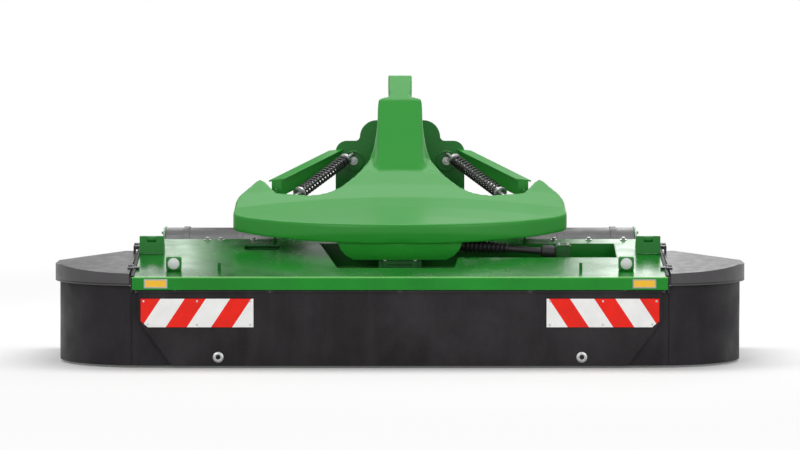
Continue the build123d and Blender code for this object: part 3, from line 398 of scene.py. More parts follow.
def lower(piece, fall):
    """Lowers each point of the piece by what fall gives for its place."""
    for point in piece.data.vertices:
        point.co.z -= fall(point.co)


def modify(piece, kind, **settings):
    pick(piece)
    modifier = piece.modifiers.new(kind.lower(), kind)
    for name, value in settings.items():
        setattr(modifier, name, value)
    bpy.ops.object.modifier_apply(modifier=modifier.name)


def combine(piece, other, operation):
    """Cuts the piece by another one, which is used up."""
    modify(piece, "BOOLEAN", object=other, operation=operation, solver="EXACT")
    bpy.data.objects.remove(other)


def rounded(piece, width, segments=2, angle=SHARP_ANGLE):
    """Breaks every sharp edge of the piece."""
    modify(piece, "BEVEL", width=width, segments=segments, limit_method="ANGLE",
        angle_limit=radians(angle), use_clamp_overlap=True, miter_outer="MITER_ARC")


def bake_place(piece):
    pick(piece)
    bpy.ops.object.transform_apply(location=True, rotation=True, scale=True)


def outward(piece):
    """Closes the piece's seams and turns its faces outwards."""
    edit_all(piece)
    bpy.ops.mesh.remove_doubles(threshold=0.00002)
    bpy.ops.mesh.normals_make_consistent(inside=False)
    done()


def hand_over(piece, finish, nodes=(), slot=None, body="machine", angle=FLAT_ANGLE):
    """Gives a finished piece its paint, its body and the CAD nodes it stands for."""
    pick(piece)
    bpy.ops.object.shade_smooth_by_angle(angle=radians(angle))
    piece.data.materials.clear()
    piece.data.materials.append(finish.material)
    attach(piece, body)
    if nodes:
        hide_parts(*nodes)
    if angle == FLAT_ANGLE:
        modify(piece, "WEIGHTED_NORMAL", mode="FACE_AREA", weight=80, keep_sharp=True)
    return piece


def drawn(name, points, filled=True):
    """A line drawn corner by corner, closed and filled or left open."""
    drop_all()
    bpy.ops.mesh.primitive_plane_add(size=0.001, location=(0, 0, 0))
    piece = newest(name)
    edit_all(piece)
    bpy.ops.mesh.merge(type="CENTER")
    bpy.ops.transform.translate(value=points[0])
    for start, end in zip(points, points[1:]):
        step = Vector(end) - Vector(start)
        bpy.ops.mesh.extrude_vertices_move(TRANSFORM_OT_translate={"value": step})
    if filled:
        bpy.ops.mesh.select_all(action="SELECT")
        bpy.ops.mesh.edge_face_add()
    done()
    return piece


def plate(name, points, thickness):
    """A drawn outline pushed out to a thickness, given as a vector."""
    piece = drawn(name, points)
    edit_all(piece, "FACE")
    extrude(thickness)
    done()
    outward(piece)
    return piece


def aimed(piece, place, direction):
    """Turns what stands along Z to a direction, and moves it to its place."""
    piece.rotation_mode = "QUATERNION"
    piece.rotation_quaternion = Vector(direction).to_track_quat("Z", "Y")
    piece.location = place
    bake_place(piece)
    return piece


def turned(name, profile, centre, direction, steps):
    """A closed profile of (radius, length) points spun round the direction at centre."""
    piece = drawn(name, [(radius, 0, length) for radius, length in profile])
    edit_all(piece)
    bpy.ops.mesh.delete(type="ONLY_FACE")
    bpy.ops.mesh.select_all(action="SELECT")
    bpy.ops.mesh.spin(steps=steps, angle=2 * pi, center=(0, 0, 0), axis=(0, 0, 1))
    done()
    outward(piece)
    return aimed(piece, centre, direction)


def block(name, size, centre):
    drop_all()
    bpy.ops.mesh.primitive_cube_add(size=1, location=centre)
    piece = newest(name)
    piece.scale = size
    bake_place(piece)
    return piece


def eased_block(name, size, centre, edge, segments=2):
    """A block with rounded edges."""
    piece = block(name, size, centre)
    rounded(piece, edge, segments)
    return piece


def joined(name, pieces):
    pick(*pieces)
    if len(pieces) > 1:
        bpy.ops.object.join()
    return newest(name)


def copied(piece, place, turn=None):
    """A copy with its own mesh, turned and moved."""
    twin = piece.copy()
    twin.data = piece.data.copy()
    bpy.context.collection.objects.link(twin)
    if turn:
        twin.data.transform(turn.to_matrix().to_4x4())
    twin.data.transform(Matrix.Translation(place))
    return twin


def group(name, pieces, *paint, **settings):
    """Joins the pieces and hands them over as one."""
    return hand_over(joined(name, pieces), *paint, **settings)


def dressed(node, width, finish, body="machine", segments=2, angle=SHARP_ANGLE):
    """A copy of a CAD node with clean flats and broken edges, shown in its place."""
    piece = bpy.data.objects.new(node + "_dressed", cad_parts[node].data.copy())
    bpy.context.collection.objects.link(piece)
    edit_all(piece)
    bpy.ops.mesh.remove_doubles(threshold=0.00001)
    bpy.ops.mesh.dissolve_limited(angle_limit=radians(CLEAN_ANGLE))
    done()
    if width:
        rounded(piece, width, segments, angle)
    return hand_over(piece, finish, [node], body=body)


# ---- frame and sheet metal

NOSE_DROP = 0.009        # keeps the uprights' noses under the shroud's skin


def nose_fall(place):
    return NOSE_DROP if abs(place.x) > 0.6 and place.y < behind(800) and place.z > 0.72 else 0


for node, width, finish, segments in (("deck", 0.0022, green_deck, 2),
        ("recess_pan", 0.0016, green_deck, 2), ("main_frame", 0.0022, green_gloss, 2),
        ("headstock", 0.002, green_gloss, 2), ("lower_arms", 0.003, green_gloss, 2),
        ("upper_link", 0.002, green_gloss, 2), ("conditioner_hood", 0.0015, black_satin, 2),
        ("corner_brackets", 0.0018, green_gloss, 2), ("cutterbar", 0.0035, bar_paint, 2),
        ("skid_shoes", 0.004, worn_steel, 2), ("centre_gearbox", 0.006, green_casting, 3),
        ("side_gearbox", 0.005, green_casting, 3), ("curtain_rod", 0.0008, black_satin, 2),
        ("cover_hinges", 0.001, black_satin, 2), ("edge_seals", 0.0025, black_rubber, 3)):
    dressed(node, width, finish, segments=segments)
lower(bpy.data.objects["main_frame_dressed"], nose_fall)
dressed("conditioner_rotor", 0.002, black_satin, "conditioner_rotor")
dressed("conditioner_tines", 0.0028, worn_steel, "conditioner_rotor")
for hand, side in HANDS:
    dressed(f"side_plate_{hand}", 0.002, green_gloss)
    dressed(f"swath_board_{hand}", 0.0015, green_gloss, f"swath_board_{hand}")
    dressed(f"side_cover_{hand}", 0.007, grey_cover, f"side_cover_{hand}", segments=4, angle=24)
    dressed(f"parking_leg_{hand}", 0.002, green_gloss, f"parking_leg_{hand}")
for number in range(1, 8):
    dressed(f"disc_{number}", 0.0025, worn_steel, f"disc_{number}")


# ---- bolts

def bolt_part(name, sides, radius, depth, middle, edge, segments):
    """A hexagon or a washer standing on the ground plane at the origin."""
    drop_all()
    bpy.ops.mesh.primitive_cylinder_add(vertices=sides, radius=radius, depth=depth,
        location=(0, 0, middle))
    piece = newest(name)
    bake_place(piece)
    rounded(piece, edge, segments)
    return piece


def bolt_set(name, across, places, body="machine"):
    """Bolts of one size at (place, direction) pairs, as one piece."""
    head = bolt_part("head", 6, across * 0.577, across * 0.6, across * 0.45, across * 0.06, 2)
    washer = bolt_part("washer", 20, across * 0.95, across * 0.16, across * 0.08, across * 0.03, 1)
    pattern = joined(name + "_pattern", [head, washer])
    bolts = [copied(pattern, place, Vector(direction).to_track_quat("Z", "Y"))
        for place, direction in places]
    bpy.data.objects.remove(pattern)
    group(name, bolts, zinc, body=body)


DECK_TILT = radians(9.2)
deck_normal = (0, -sin(DECK_TILT), cos(DECK_TILT))
bolt_set("deck_rear_bolts", 0.019, [((x, behind(845), deck_height(845)), deck_normal)
    for x in (-1.24, -1.0, -0.93, -0.76, -0.56, 0.8, 0.98, 1.16, 1.26)])


# ---- shroud

CROWN = 6.25             # radius of the shroud across the machine
FACE_HALF = 0.108        # half width of the neck's flat face, between its flared edges
FLARE_WIDTH = 0.035
CORNER_STEPS = 5
WALL = 6                 # thickness of the shroud, in millimetres
SKIN_DEPTH = 120         # the hollow is this much lower than the shroud's underside
FINE_VOXEL, FINE_ROUNDS = 0.0042, 14
COARSE_VOXEL, COARSE_ROUNDS = 0.0065, 3


def crown_fall(place):
    return CROWN - sqrt(CROWN ** 2 - place.x ** 2)


def flare_fall(place):
    """How far the flares beside the neck lie below its flat face."""
    aside = max(0, min(1, (abs(place.x) - FACE_HALF) / FLARE_WIDTH))
    up = max(0, min(0.105, place.y - behind(975)))
    return 0.75 * up * aside * aside * (3 - 2 * aside)


def arc_points(start, middle, end, count):
    """Points on the circle through three points."""
    (ax, ay), (bx, by), (cx, cy) = start, middle, end
    a, b, c = ax * ax + ay * ay, bx * bx + by * by, cx * cx + cy * cy
    d = 2 * (ax * (by - cy) + bx * (cy - ay) + cx * (ay - by))
    ux = (a * (by - cy) + b * (cy - ay) + c * (ay - by)) / d
    uy = (a * (cx - bx) + b * (ax - cx) + c * (bx - ax)) / d
    radius = hypot(ax - ux, ay - uy)
    first, last = atan2(ay - uy, ax - ux), atan2(cy - uy, cx - ux)
    angles = [first + (last - first) * k / count for k in range(count + 1)]
    return [(ux + radius * cos(angle), uy + radius * sin(angle)) for angle in angles]


def softened(corners, radii):
    """An outline of (x, y) points with its inner corners rounded."""
    points = [corners[0]]
    for before, corner, after, radius in zip(corners, corners[1:], corners[2:], radii):
        before, corner, after = Vector(before), Vector(corner), Vector(after)
        into, out = (corner - before).normalized(), (after - corner).normalized()
        turn = into.angle(out)
        room = min((corner - before).length, (after - corner).length) * 0.48
        back = min(radius * abs(sin(turn / 2) / cos(turn / 2)), room)
        first, last = corner - into * back, corner + out * back
        for k in range(CORNER_STEPS + 1):
            t = k / CORNER_STEPS
            points.append(tuple(first * (1 - t) ** 2 + corner * 2 * t * (1 - t) + last * t ** 2))
    points.append(corners[-1])
    return points


# Half the shroud's plan as (x, distance behind the front), and its corners' radii.
shroud_side = [(0.8, 672), (0.866, 722), (0.85, 885), (0.726, 992), (0.64, 880), (0.4, 815),
    (0.225, 965), (0.152, 1105), (0.12, 1165), (0.1165, 1258), (0.058, 1270), (0.064, 1412),
    (0.0, 1412)]
shroud_radii = [0.06, 0.12, 0.035, 0.035, 0.25, 0.16, 0.14, 0.12, 0.008, 0.008, 0.012]
SHROUD_NOSE = 440

# Its side view as (distance behind the front, height), in millimetres: the upper face, the lower
# face and the nose. The hollow keeps the upper face and goes well below the lower one.
upper_face = [(440, 693), (560, 731), (680, 773), (785, 817), (890, 877), (980, 947), (1078, 1077),
    (1244, 1308), (1390, 1433), (1426, 1450)]
lower_face = [(1440, 1380), (1330, 1240), (1160, 1005), (1045, 868), (800, 738)]
shroud_section = upper_face + lower_face + [(462, 592), (434, 642), (430, 690)]
hollow_section = (upper_face + [(d, z - SKIN_DEPTH) for d, z in lower_face]
    + [(472, 470), (472, 592), (444, 642), (438, 690)])


def shroud_solid(name, section, wall):
    """The shroud's side view drawn out, trimmed to its plan and crowned, less a wall."""
    inset = wall * MILLIMETRE
    right_side = softened([(max(0, x - inset), behind(d)) for x, d in shroud_side], shroud_radii)
    corner_x, corner_y = right_side[0]
    nose = (0, behind(SHROUD_NOSE) + inset)
    front_edge = arc_points((-corner_x, corner_y), nose, (corner_x, corner_y), 40)
    left_side = [(-x, y) for x, y in reversed(right_side)]
    outline = front_edge[:-1] + right_side[:-1] + left_side[:-1]
    # The trim goes straight down to the visor's rim, then draws in a little.
    trim = drawn(name + "_trim", [(x, y, 1.6) for x, y in outline])
    edit_all(trim, "FACE")
    extrude((0, 0, -0.945))
    extrude((0, 0, -0.12))
    bpy.ops.transform.resize(value=(0.945, 0.93, 1), center_override=(0, behind(850), 0))
    done()
    outward(trim)
    solid = plate(name, [(-0.9, behind(d), (z - wall) * MILLIMETRE) for d, z in section],
        (1.8, 0, 0))
    combine(solid, trim, "INTERSECT")
    outward(solid)
    cuts = (0.055, 0.108, 0.117, 0.125, 0.134, 0.143, 0.2, 0.3, 0.4, 0.5, 0.6, 0.7, 0.8)
    for place in [0] + [side * x for side in SIDES for x in cuts]:
        cut(solid, (place, 0, 0), (1, 0, 0))
    lower(solid, crown_fall)
    return solid


shroud = shroud_solid("shroud", shroud_section, 0)
modify(shroud, "REMESH", mode="VOXEL", voxel_size=FINE_VOXEL)
lower(shroud, flare_fall)
modify(shroud, "SMOOTH", factor=0.5, iterations=FINE_ROUNDS)
modify(shroud, "REMESH", mode="VOXEL", voxel_size=COARSE_VOXEL)
modify(shroud, "SMOOTH", factor=0.5, iterations=COARSE_ROUNDS)
for point in shroud.data.vertices:
    point.co.z = min(point.co.z, BOX_TOP)
hollow = shroud_solid("shroud_hollow", hollow_section, WALL)
for distance in range(900, 1420, 30):
    cut(hollow, (0, behind(distance), 0), (0, 1, 0))
lower(hollow, flare_fall)
combine(shroud, hollow, "DIFFERENCE")
hand_over(shroud, green_cover, ["front_shroud"], "green_plastic", angle=50)

# The chin's front leans back towards its top, to stay behind the visor.
chin = dressed("shroud_chin", 0, green_cover)
for point in chin.data.vertices:
    if point.co.y < behind(540):
        point.co.y += 0.02 * max(0, min(1, (point.co.z - 0.505) / 0.08))


# ---- curtains

CLOTH = 0.003            # thickness of every curtain
CORNER_X, CORNER_RADIUS = 1.26, 0.5     # the machine's front corners in plan
SPLIT_X = 1.355          # here the folding corner curtain follows on the fixed one
CURTAIN_FOOT = 0.01
ROUND_ANGLE = 50


def hanging_wall(name, line, low, high, rows):
    """A line on the ground raised to a sheet of small squares."""
    piece = drawn(name, [(x, y, low) for x, y in line], filled=False)
    edit_all(piece)
    for row in range(rows):
        extrude((0, 0, (high - low) / rows))
    done()
    return piece


def corner_line(start_x, inset, rear, step=0.02):
    """Plan of the machine's right corner: straight, quarter round, straight back."""
    centre_y, radius = behind(500), CORNER_RADIUS - inset
    line, first = [], 0
    if start_x < CORNER_X:
        width = CORNER_X - start_x
        count = max(2, ceil(width / step))
        line = [(start_x + width * k / count, behind(0) + inset) for k in range(count)]
    else:
        first = atan2(start_x - CORNER_X, sqrt(radius ** 2 - (start_x - CORNER_X) ** 2))
    count = ceil((pi / 2 - first) * radius / step)
    angles = [first + (pi / 2 - first) * k / count for k in range(count + 1)]
    line += [(CORNER_X + radius * sin(angle), centre_y - radius * cos(angle)) for angle in angles]
    count = ceil((rear - centre_y) / step)
    return line + [(CORNER_X + radius, centre_y + (rear - centre_y) * k / count)
        for k in range(1, count + 1)]


def hang(piece, depth, direction, size, top, still=0.0):
    """Gives a sheet its thickness, and waves below top and further out than still."""
    foot = min(corner[2] for corner in piece.bound_box)
    loose = piece.vertex_groups.new(name="loose")
    for point in piece.data.vertices:
        share = (top - point.co.z) / (top - foot)
        beyond = min(1, max(0, (abs(point.co.x) - still) / 0.12)) if still else 1
        loose.add([point.index], max(0, min(1, share)) ** 0.8 * beyond, "REPLACE")
    folds = bpy.data.textures.new(piece.name + "_folds", "CLOUDS")
    folds.noise_scale = size
    folds.noise_depth = 1
    bpy.ops.object.empty_add(location=(0, 0, 0))
    stretch = bpy.context.active_object
    stretch.scale = (1, 1, 3.2)
    modify(piece, "DISPLACE", texture=folds, texture_coords="OBJECT", texture_coords_object=stretch,
        direction=direction, strength=depth, mid_level=0.5, vertex_group="loose")
    bpy.data.objects.remove(stretch)
    modify(piece, "SOLIDIFY", thickness=CLOTH, offset=0)


drop_all()
bpy.ops.mesh.primitive_grid_add(x_subdivisions=170, y_subdivisions=25, size=1,
    location=(0, behind(10.5), 0.199), rotation=(pi / 2, 0, 0))
flap = newest("front_curtain_sheet")
flap.scale = (2.62, 0.378, 1)
bake_place(flap)
for side in SIDES:
    slant = Vector((0.23 * side, 0, -0.17)).normalized()
    cut(flap, (1.14 * side, 0, CURTAIN_FOOT), slant, clear_outer=True)
hang(flap, 0.006, "Y", 0.17, 0.36)
hand_over(flap, curtain_cloth, ["front_curtain"], "curtain_rubber", "front_flap")

beads = []
bead_ends = (-1.309, -0.668, -0.634, -0.018, 0.018, 0.634, 0.668, 1.309)
for start, end in zip(bead_ends[::2], bead_ends[1::2]):
    length = end - start
    profile = [(0.0045, 0), (0.0072, 0), (0.0078, 0.002), (0.0078, length - 0.002),
        (0.0072, length), (0.0045, length)]
    beads.append(turned("bead", profile, (start, behind(9), 0.382), (1, 0, 0), 20))
bead = group("front_curtain_bead", beads, curtain_cloth, (), "curtain_rubber", "front_flap")

rings = [turned("ring", [(0.0115, 0.0035), (0.0125, 0.0048), (0.0155, 0.0056), (0.0205, 0.0052),
    (0.0255, 0.0036), (0.027, 0.0022), (0.0115, 0.0022)], (side * 0.91, behind(8.4), 0.054),
    (0, -1, 0), 40) for side in SIDES]
grommets = group("curtain_rings", rings, zinc, ["curtain_grommets"], body="front_flap")

for hand, side in HANDS:
    folding = hanging_wall(f"corner_sheet_{hand}", corner_line(1.3485, 0.025, behind(1250)),
        CURTAIN_FOOT, 0.411, 22)
    fixed_line = [place for place in corner_line(1.141, 0.0305, behind(600), 0.005)
        if place[0] < 1.358]
    fixed = hanging_wall(f"fixed_corner_sheet_{hand}", fixed_line, CURTAIN_FOOT, 0.391, 22)
    for sheet, depth in ((folding, 0.012), (fixed, 0.001)):
        if side < 0:
            sheet.scale = (-1, 1, 1)
            bake_place(sheet)
        outward(sheet)
        hang(sheet, depth, "NORMAL", 0.2, 0.39, SPLIT_X)
    hand_over(folding, corner_cloth, [f"side_curtain_{hand}"], "curtain_rubber",
        f"side_cover_{hand}", ROUND_ANGLE)
    hand_over(fixed, corner_cloth, [f"corner_flap_{hand}"], "curtain_rubber", angle=ROUND_ANGLE)


# ---- front plates, lamps and reflectors

for hand, side in HANDS:
    corners = ((0.733, 0.205), (0.733, PLATE_TOP), (PLATE_END, PLATE_TOP), (PLATE_END, 0.235),
        (1.261, 0.205))
    panel = plate(f"warning_plate_{hand}", [(side * x, behind(3.1), z) for x, z in corners],
        (0, 0.0026, 0))
    rounded(panel, 0.0006)
    hand_over(panel, stripes, [f"stripe_plate_{hand}"], body="front_flap")

LAMP_X = 1.1385
lamp_profile = [(0, 0), (0.029, 0), (0.029, 0.006), (0.026, 0.009), (0.018, 0.0125),
    (0.009, 0.0145), (0, 0.015)]
lamp_shells, lamp_glasses, reflector_shells, reflector_glasses = [], [], [], []
for side in SIDES:
    shell = eased_block("lamp_shell", (0.078, 0.044, 0.072), (side * LAMP_X, behind(158), 0.5145),
        0.012, 4)
    choose_faces(shell, lambda middle, normal: normal.y < -0.98)
    bpy.ops.mesh.inset(thickness=0.004)
    extrude((0, 0.005, 0))
    done()
    foot = eased_block("lamp_foot", (0.05, 0.03, 0.014), (side * LAMP_X, behind(160), 0.479), 0.003)
    lamp_shells += [shell, foot]
    lamp_glasses.append(turned("lamp_glass", lamp_profile, (side * LAMP_X, behind(142), 0.5145),
        (0, -1, 0), 40))
    for shapes, size, distance, edge in ((reflector_shells, (0.118, 0.0026, 0.046), 1.6, 0.0012),
            (reflector_glasses, (0.104, 0.002, 0.034), 1.1, 0.0008)):
        shapes.append(eased_block("reflector", size, (side * 1.222, behind(distance), 0.4235),
            edge))
group("lamp_housings", lamp_shells, green_gloss, ["marker_lamps"])
group("lamp_lenses", lamp_glasses, white_lens, slot="lamp_white")
group("reflector_frames", reflector_shells, bare_back, ["reflectors"])
group("reflector_lenses", reflector_glasses, amber_lens, slot="amber_plastic")


# ---- float springs

def coil(name, wire, radius, turns, start, end):
    """A round wire wound from start to end."""
    run = Vector(end) - Vector(start)
    drop_all()
    bpy.ops.mesh.primitive_circle_add(vertices=10, radius=wire / 2, location=(radius, 0, 0),
        rotation=(pi / 2, 0, 0))
    piece = newest(name)
    bake_place(piece)
    modify(piece, "SCREW", angle=2 * pi * turns, screw_offset=run.length, steps=24 * turns,
        render_steps=24 * turns, axis="Z", use_normal_calculate=True)
    edit(piece, "EDGE")
    bpy.ops.mesh.select_non_manifold()
    bpy.ops.mesh.edge_face_add()
    done()
    aimed(piece, start, run)
    outward(piece)
    return piece


coils, rods = [], []
for side in SIDES:
    foot = Vector((side * 0.56, behind(1010), 0.8))
    head = Vector((side * 0.24, behind(1580), 1.018))
    line = (head - foot).normalized()
    reach = (head - foot).length * (behind(1559.4) - foot.y) / (head.y - foot.y)
    low, high = foot + line * 0.075, foot + line * (reach - 0.1)
    coils.append(coil("spring_coil", 0.0105, 0.0285, 17, low, high))
    rods.append(turned("spring_rod", [(0, 0.012), (0.0105, 0.012), (0.0105, reach - 0.004),
        (0, reach - 0.004)], foot, line, 20))
    for place, width in ((low - line * 0.008, 0.036), (high + line * 0.004, 0.034)):
        rods.append(turned("spring_cup", [(0.0106, -0.007), (width * 0.7, -0.007), (width, -0.002),
            (width, 0.009), (width * 0.94, 0.011), (0.0106, 0.011)], place, line, 32))
    rods.append(turned("spring_eye", [(0.0102, -0.015), (0.019, -0.015), (0.0205, -0.013),
        (0.0205, 0.013), (0.019, 0.015), (0.0102, 0.015)], foot, (1, 0, 0), 28))
group("spring_coils", coils, spring_black, ["float_springs"], angle=60)
group("spring_rods", rods, zinc)


# ---- guards on the drive

RIB_PITCH, RIB_DEPTH = 0.022, 0.007


def bellows(start, count, first, last):
    """Profile points of ribs whose crests go from the first radius to the last."""
    points = []
    for number in range(count):
        crest, place = first + (last - first) * number / (count - 1), start + RIB_PITCH * number
        points += [(crest - RIB_DEPTH, place), (crest, place + RIB_PITCH * 0.3),
            (crest, place + RIB_PITCH * 0.55), (crest - RIB_DEPTH, place + RIB_PITCH * 0.85)]
    return points


shaft_start = Vector((0.1128, behind(605), 0.598))
shaft_way = Vector((0.7972, behind(605), 0.542)) - shaft_start
shaft_length = shaft_way.length
side_profile = [(0, 0), (0.03, 0), (0.03, 0.008), (0.04, 0.009), (0.04, 0.076), (0.037, 0.079),
    (0.03, 0.08), (0.03, 0.218)] + bellows(0.225, 10, 0.04, 0.0255)
side_profile += [(0.0175, 0.45), (0.0175, 0.612), (0.033, 0.62), (0.036, 0.664),
    (0.03, shaft_length), (0, shaft_length)]
side_guard = turned("side_shaft_guard", side_profile, shaft_start, shaft_way, 40)
hand_over(side_guard, black_guard, ["side_shaft"])
long_profile = [(0.0335, 0), (0.045, 0), (0.045, 0.022)] + bellows(0.028, 7, 0.045, 0.042)
long_profile += [(0.0385, 0.19), (0.0385, 0.612)] + bellows(0.618, 7, 0.042, 0.045)
long_profile += [(0.045, 0.776), (0.045, 0.7977), (0.0335, 0.7977)]
long_guard = turned("input_shaft_guard", long_profile, (0, behind(774), 0.7), (0, 1, 0), 40)
hand_over(long_guard, black_guard, ["shaft_guard"])

SPLINES = 6
splined = dressed("input_shaft", 0.0016, zinc, "input_shaft")
groove = block("groove", (0.0085, 0.075, 0.006), (0, 0, 0))
grooves = []
for number in range(SPLINES):
    turn = Quaternion((0, 1, 0), radians(360 / SPLINES * (number + 0.5)))
    grooves.append(copied(groove, Vector((0, behind(1662), 0.7)) + turn @ Vector((0, 0, 0.0178)),
        turn))
bpy.data.objects.remove(groove)
combine(splined, joined("grooves", grooves), "DIFFERENCE")


# ---- gearboxes

SIDE_BOX_X, BOX_LINE = 0.84, behind(605)
lids = [eased_block("gearbox_lid", (0.176, 0.007, 0.15), (0, behind(517), 0.515), 0.003)]
for number in range(5):
    lids.append(eased_block("gearbox_fin", (0.12, 0.01, 0.005),
        (0, behind(509), 0.462 + 0.026 * number), 0.0018))
lids.append(eased_block("side_gearbox_lid", (0.062, 0.08, 0.006), (SIDE_BOX_X, BOX_LINE, 0.578),
    0.0025))
group("gearbox_lids", lids, green_casting, slot="green_cast")
lid_bolts = [((x, behind(513.5), z), (0, -1, 0)) for x in (-0.077, 0.0, 0.077)
    for z in (0.449, 0.581)]
lid_bolts += [((x, behind(513.5), 0.515), (0, -1, 0)) for x in (-0.077, 0.077)]
lid_bolts += [((SIDE_BOX_X + x, BOX_LINE + y, 0.581), (0, 0, 1)) for x in (-0.023, 0.023)
    for y in (-0.032, 0.032)]
lid_bolts += [((SIDE_BOX_X + 0.063 * cos(radians(angle)), BOX_LINE + 0.063 * sin(radians(angle)),
    0.4415), (0, 0, 1)) for angle in (0, 45, 90, 135, 225, 270, 315)]
bolt_set("gearbox_bolts", 0.012, lid_bolts)


# ---- headstock and suspension fittings

ARM_EYE = (behind(1020), 0.715)
rims = []
for side in SIDES:
    rims.append(turned("pivot_rim", [(0.046, 0), (0.056, 0), (0.056, 0.007), (0.0535, 0.01),
        (0.0485, 0.01), (0.046, 0.007)], (side * 0.249, 0.56, 0.972), (0, -1, 0), 48))
    rims.append(turned("link_eye", [(0.0355, 0), (0.0355, 0.012), (0.03, 0.015), (0, 0.015),
        (0, 0)], (side * 0.675, *ARM_EYE), (side, 0, 0), 32))
group("pivot_rims", rims, green_gloss, slot="green_paint")

bar_steel = []
for side in SIDES:
    bar_steel.append(turned("hitch_pin_sleeve", [(0, 0), (0.0148, 0), (0.0148, 0.0605),
        (0.0125, 0.0645), (0, 0.0645)], (side * 0.417, behind(1665), 0.66), (side, 0, 0), 28))
link_foot = Vector((0, behind(905), 0.8))
link_way = Vector((0, behind(1580), 1.125)) - link_foot
nut_profile = [(0.022, 0), (0.031, 0.001), (0.0325, 0.004), (0.0325, 0.026), (0.031, 0.029),
    (0.022, 0.03)]
for distance in (0.16, 0.56):
    place = link_foot + link_way.normalized() * distance
    bar_steel.append(turned("link_nut", nut_profile, place, link_way, 6))
group("steel_fittings", bar_steel, zinc, slot="zinc_steel")

stock_bolts = [((side * 0.249, 0.56, 0.972), (0, -1, 0)) for side in SIDES]
stock_bolts += [((side * x, 0.572, z), (0, 1, 0)) for side in SIDES
    for x, z in ((0.249, 0.972), (0.3, 0.62), (0.3, 0.86))]
stock_bolts += [((side * x, y, z), (side, 0, 0))
    for x, y, z in ((0.4045, behind(1640), 0.36), (0.69, *ARM_EYE)) for side in SIDES]
bolt_set("headstock_bolts", 0.024, stock_bolts)

ARM_BOX, ARM_FLANGE = (0.044, 0.7, 0.084), (0.07, 0.7, 0.008)
ARM_ENDS = ((0.5597, 1), (0.0503, -1))      # Y of the headstock and of the frame's plates
arms = []
for side in SIDES:
    low = Vector((side * 0.66, behind(1028), 0.84))
    high = Vector((side * 0.318, behind(1600), 0.992))
    ahead = (high - low).normalized()
    aside = ahead.cross(Vector((0, 0, 1))).normalized()
    arm_turn = Matrix((aside, ahead, aside.cross(ahead))).transposed().to_quaternion()
    for size, rise, edge in ((ARM_BOX, 0, 0.004), (ARM_FLANGE, 0.0455, 0.003)):
        bar = eased_block("float_arm", size, (0, 0, rise), edge, 3)
        bar.data.transform(Matrix.Translation((low + high) / 2) @ arm_turn.to_matrix().to_4x4())
        for y, way in ARM_ENDS:
            cut(bar, (0, y, 0), (0, way, 0), clear_outer=True, use_fill=True)
        arms.append(bar)
# The arm bars take the shroud's paler, calmer green rather than the frame's paint; the paler tone
# is a painted highlight for the sheen on their tops.
group("float_arm_bars", arms, green_cover, ["float_arms"])

RIPPLE = 0.005


def weld(start, end, size):
    """A weld bead with its ripples, from start to end."""
    start, run = Vector(start), Vector(end) - Vector(start)
    count = int(run.length / RIPPLE)
    crests = [(size * (1.0 if number % 2 else 0.82), run.length * (number + 0.5) / count)
        for number in range(count)]
    return turned("weld", [(0, 0)] + crests + [(0, run.length)], start, run, 8)


welds = []
for side in SIDES:
    for x in (0.64, 0.652, 0.06, 0.072):
        welds.append(weld((side * x, behind(790), 0.566), (side * x, behind(850), 0.566), 0.0045))
    for x, low, high, size in ((0.3925, 0.6, 0.75, 0.0055), (0.026, 0.905, 1.185, 0.0045),
            (0.04, 0.905, 1.185, 0.0045)):
        welds.append(weld((side * x, behind(1572), low), (side * x, behind(1572), high), size))
    welds.append(weld((side * 0.055, behind(1590), 0.62), (side * 0.335, behind(1590), 0.62),
        0.0045))
group("weld_beads", welds, green_casting, slot="green_paint", angle=60)


# ---- hood, side plates and rotor

ROTOR_Y, ROTOR_Z = behind(1165), 0.36
PLATE_X = 1.24           # outer face of the side plates
SWAGE_PITCH = 0.28


def around_rotor(radius, angle):
    return (ROTOR_Y + radius * cos(radians(angle)), ROTOR_Z + radius * sin(radians(angle)))


swage = plate("hood_swage", [(0, *around_rotor(0.2762, angle)) for angle in range(32, 137, 8)]
    + [(0, *around_rotor(0.2828, angle)) for angle in range(135, 31, -8)], (0.034, 0, 0))
rounded(swage, 0.0026)
swages = [copied(swage, (SWAGE_PITCH * number - 0.017, 0, 0)) for number in range(-4, 5)]
bpy.data.objects.remove(swage)
group("hood_swages", swages, black_satin, slot="black_paint")

plate_bolts, flange_bolts, collars = [], [], []
for side in SIDES:
    for angle in (34, 56, 78, 100, 122):
        plate_bolts.append(((side * PLATE_X, *around_rotor(0.259, angle)), (side, 0, 0)))
    for z in (0.49, 0.54):
        for distance in (793, 845):
            plate_bolts.append(((side * PLATE_X, behind(distance), z), (side, 0, 0)))
    for angle in (45, 135, 225, 315):
        flange_bolts.append(((side * 1.264, *around_rotor(0.047, angle)), (side, 0, 0)))
    collars.append(turned("rotor_collar", [(0.03, 0), (0.046, 0), (0.048, 0.002), (0.048, 0.018),
        (0.046, 0.02), (0.03, 0.02)], (side * 1.184, ROTOR_Y, ROTOR_Z), (side, 0, 0), 36))
bolt_set("side_plate_bolts", 0.018, plate_bolts)
bolt_set("bearing_bolts", 0.013, flange_bolts)
group("rotor_collars", collars, zinc, (), "zinc_steel", "conditioner_rotor")


# ---- discs and cutterbar

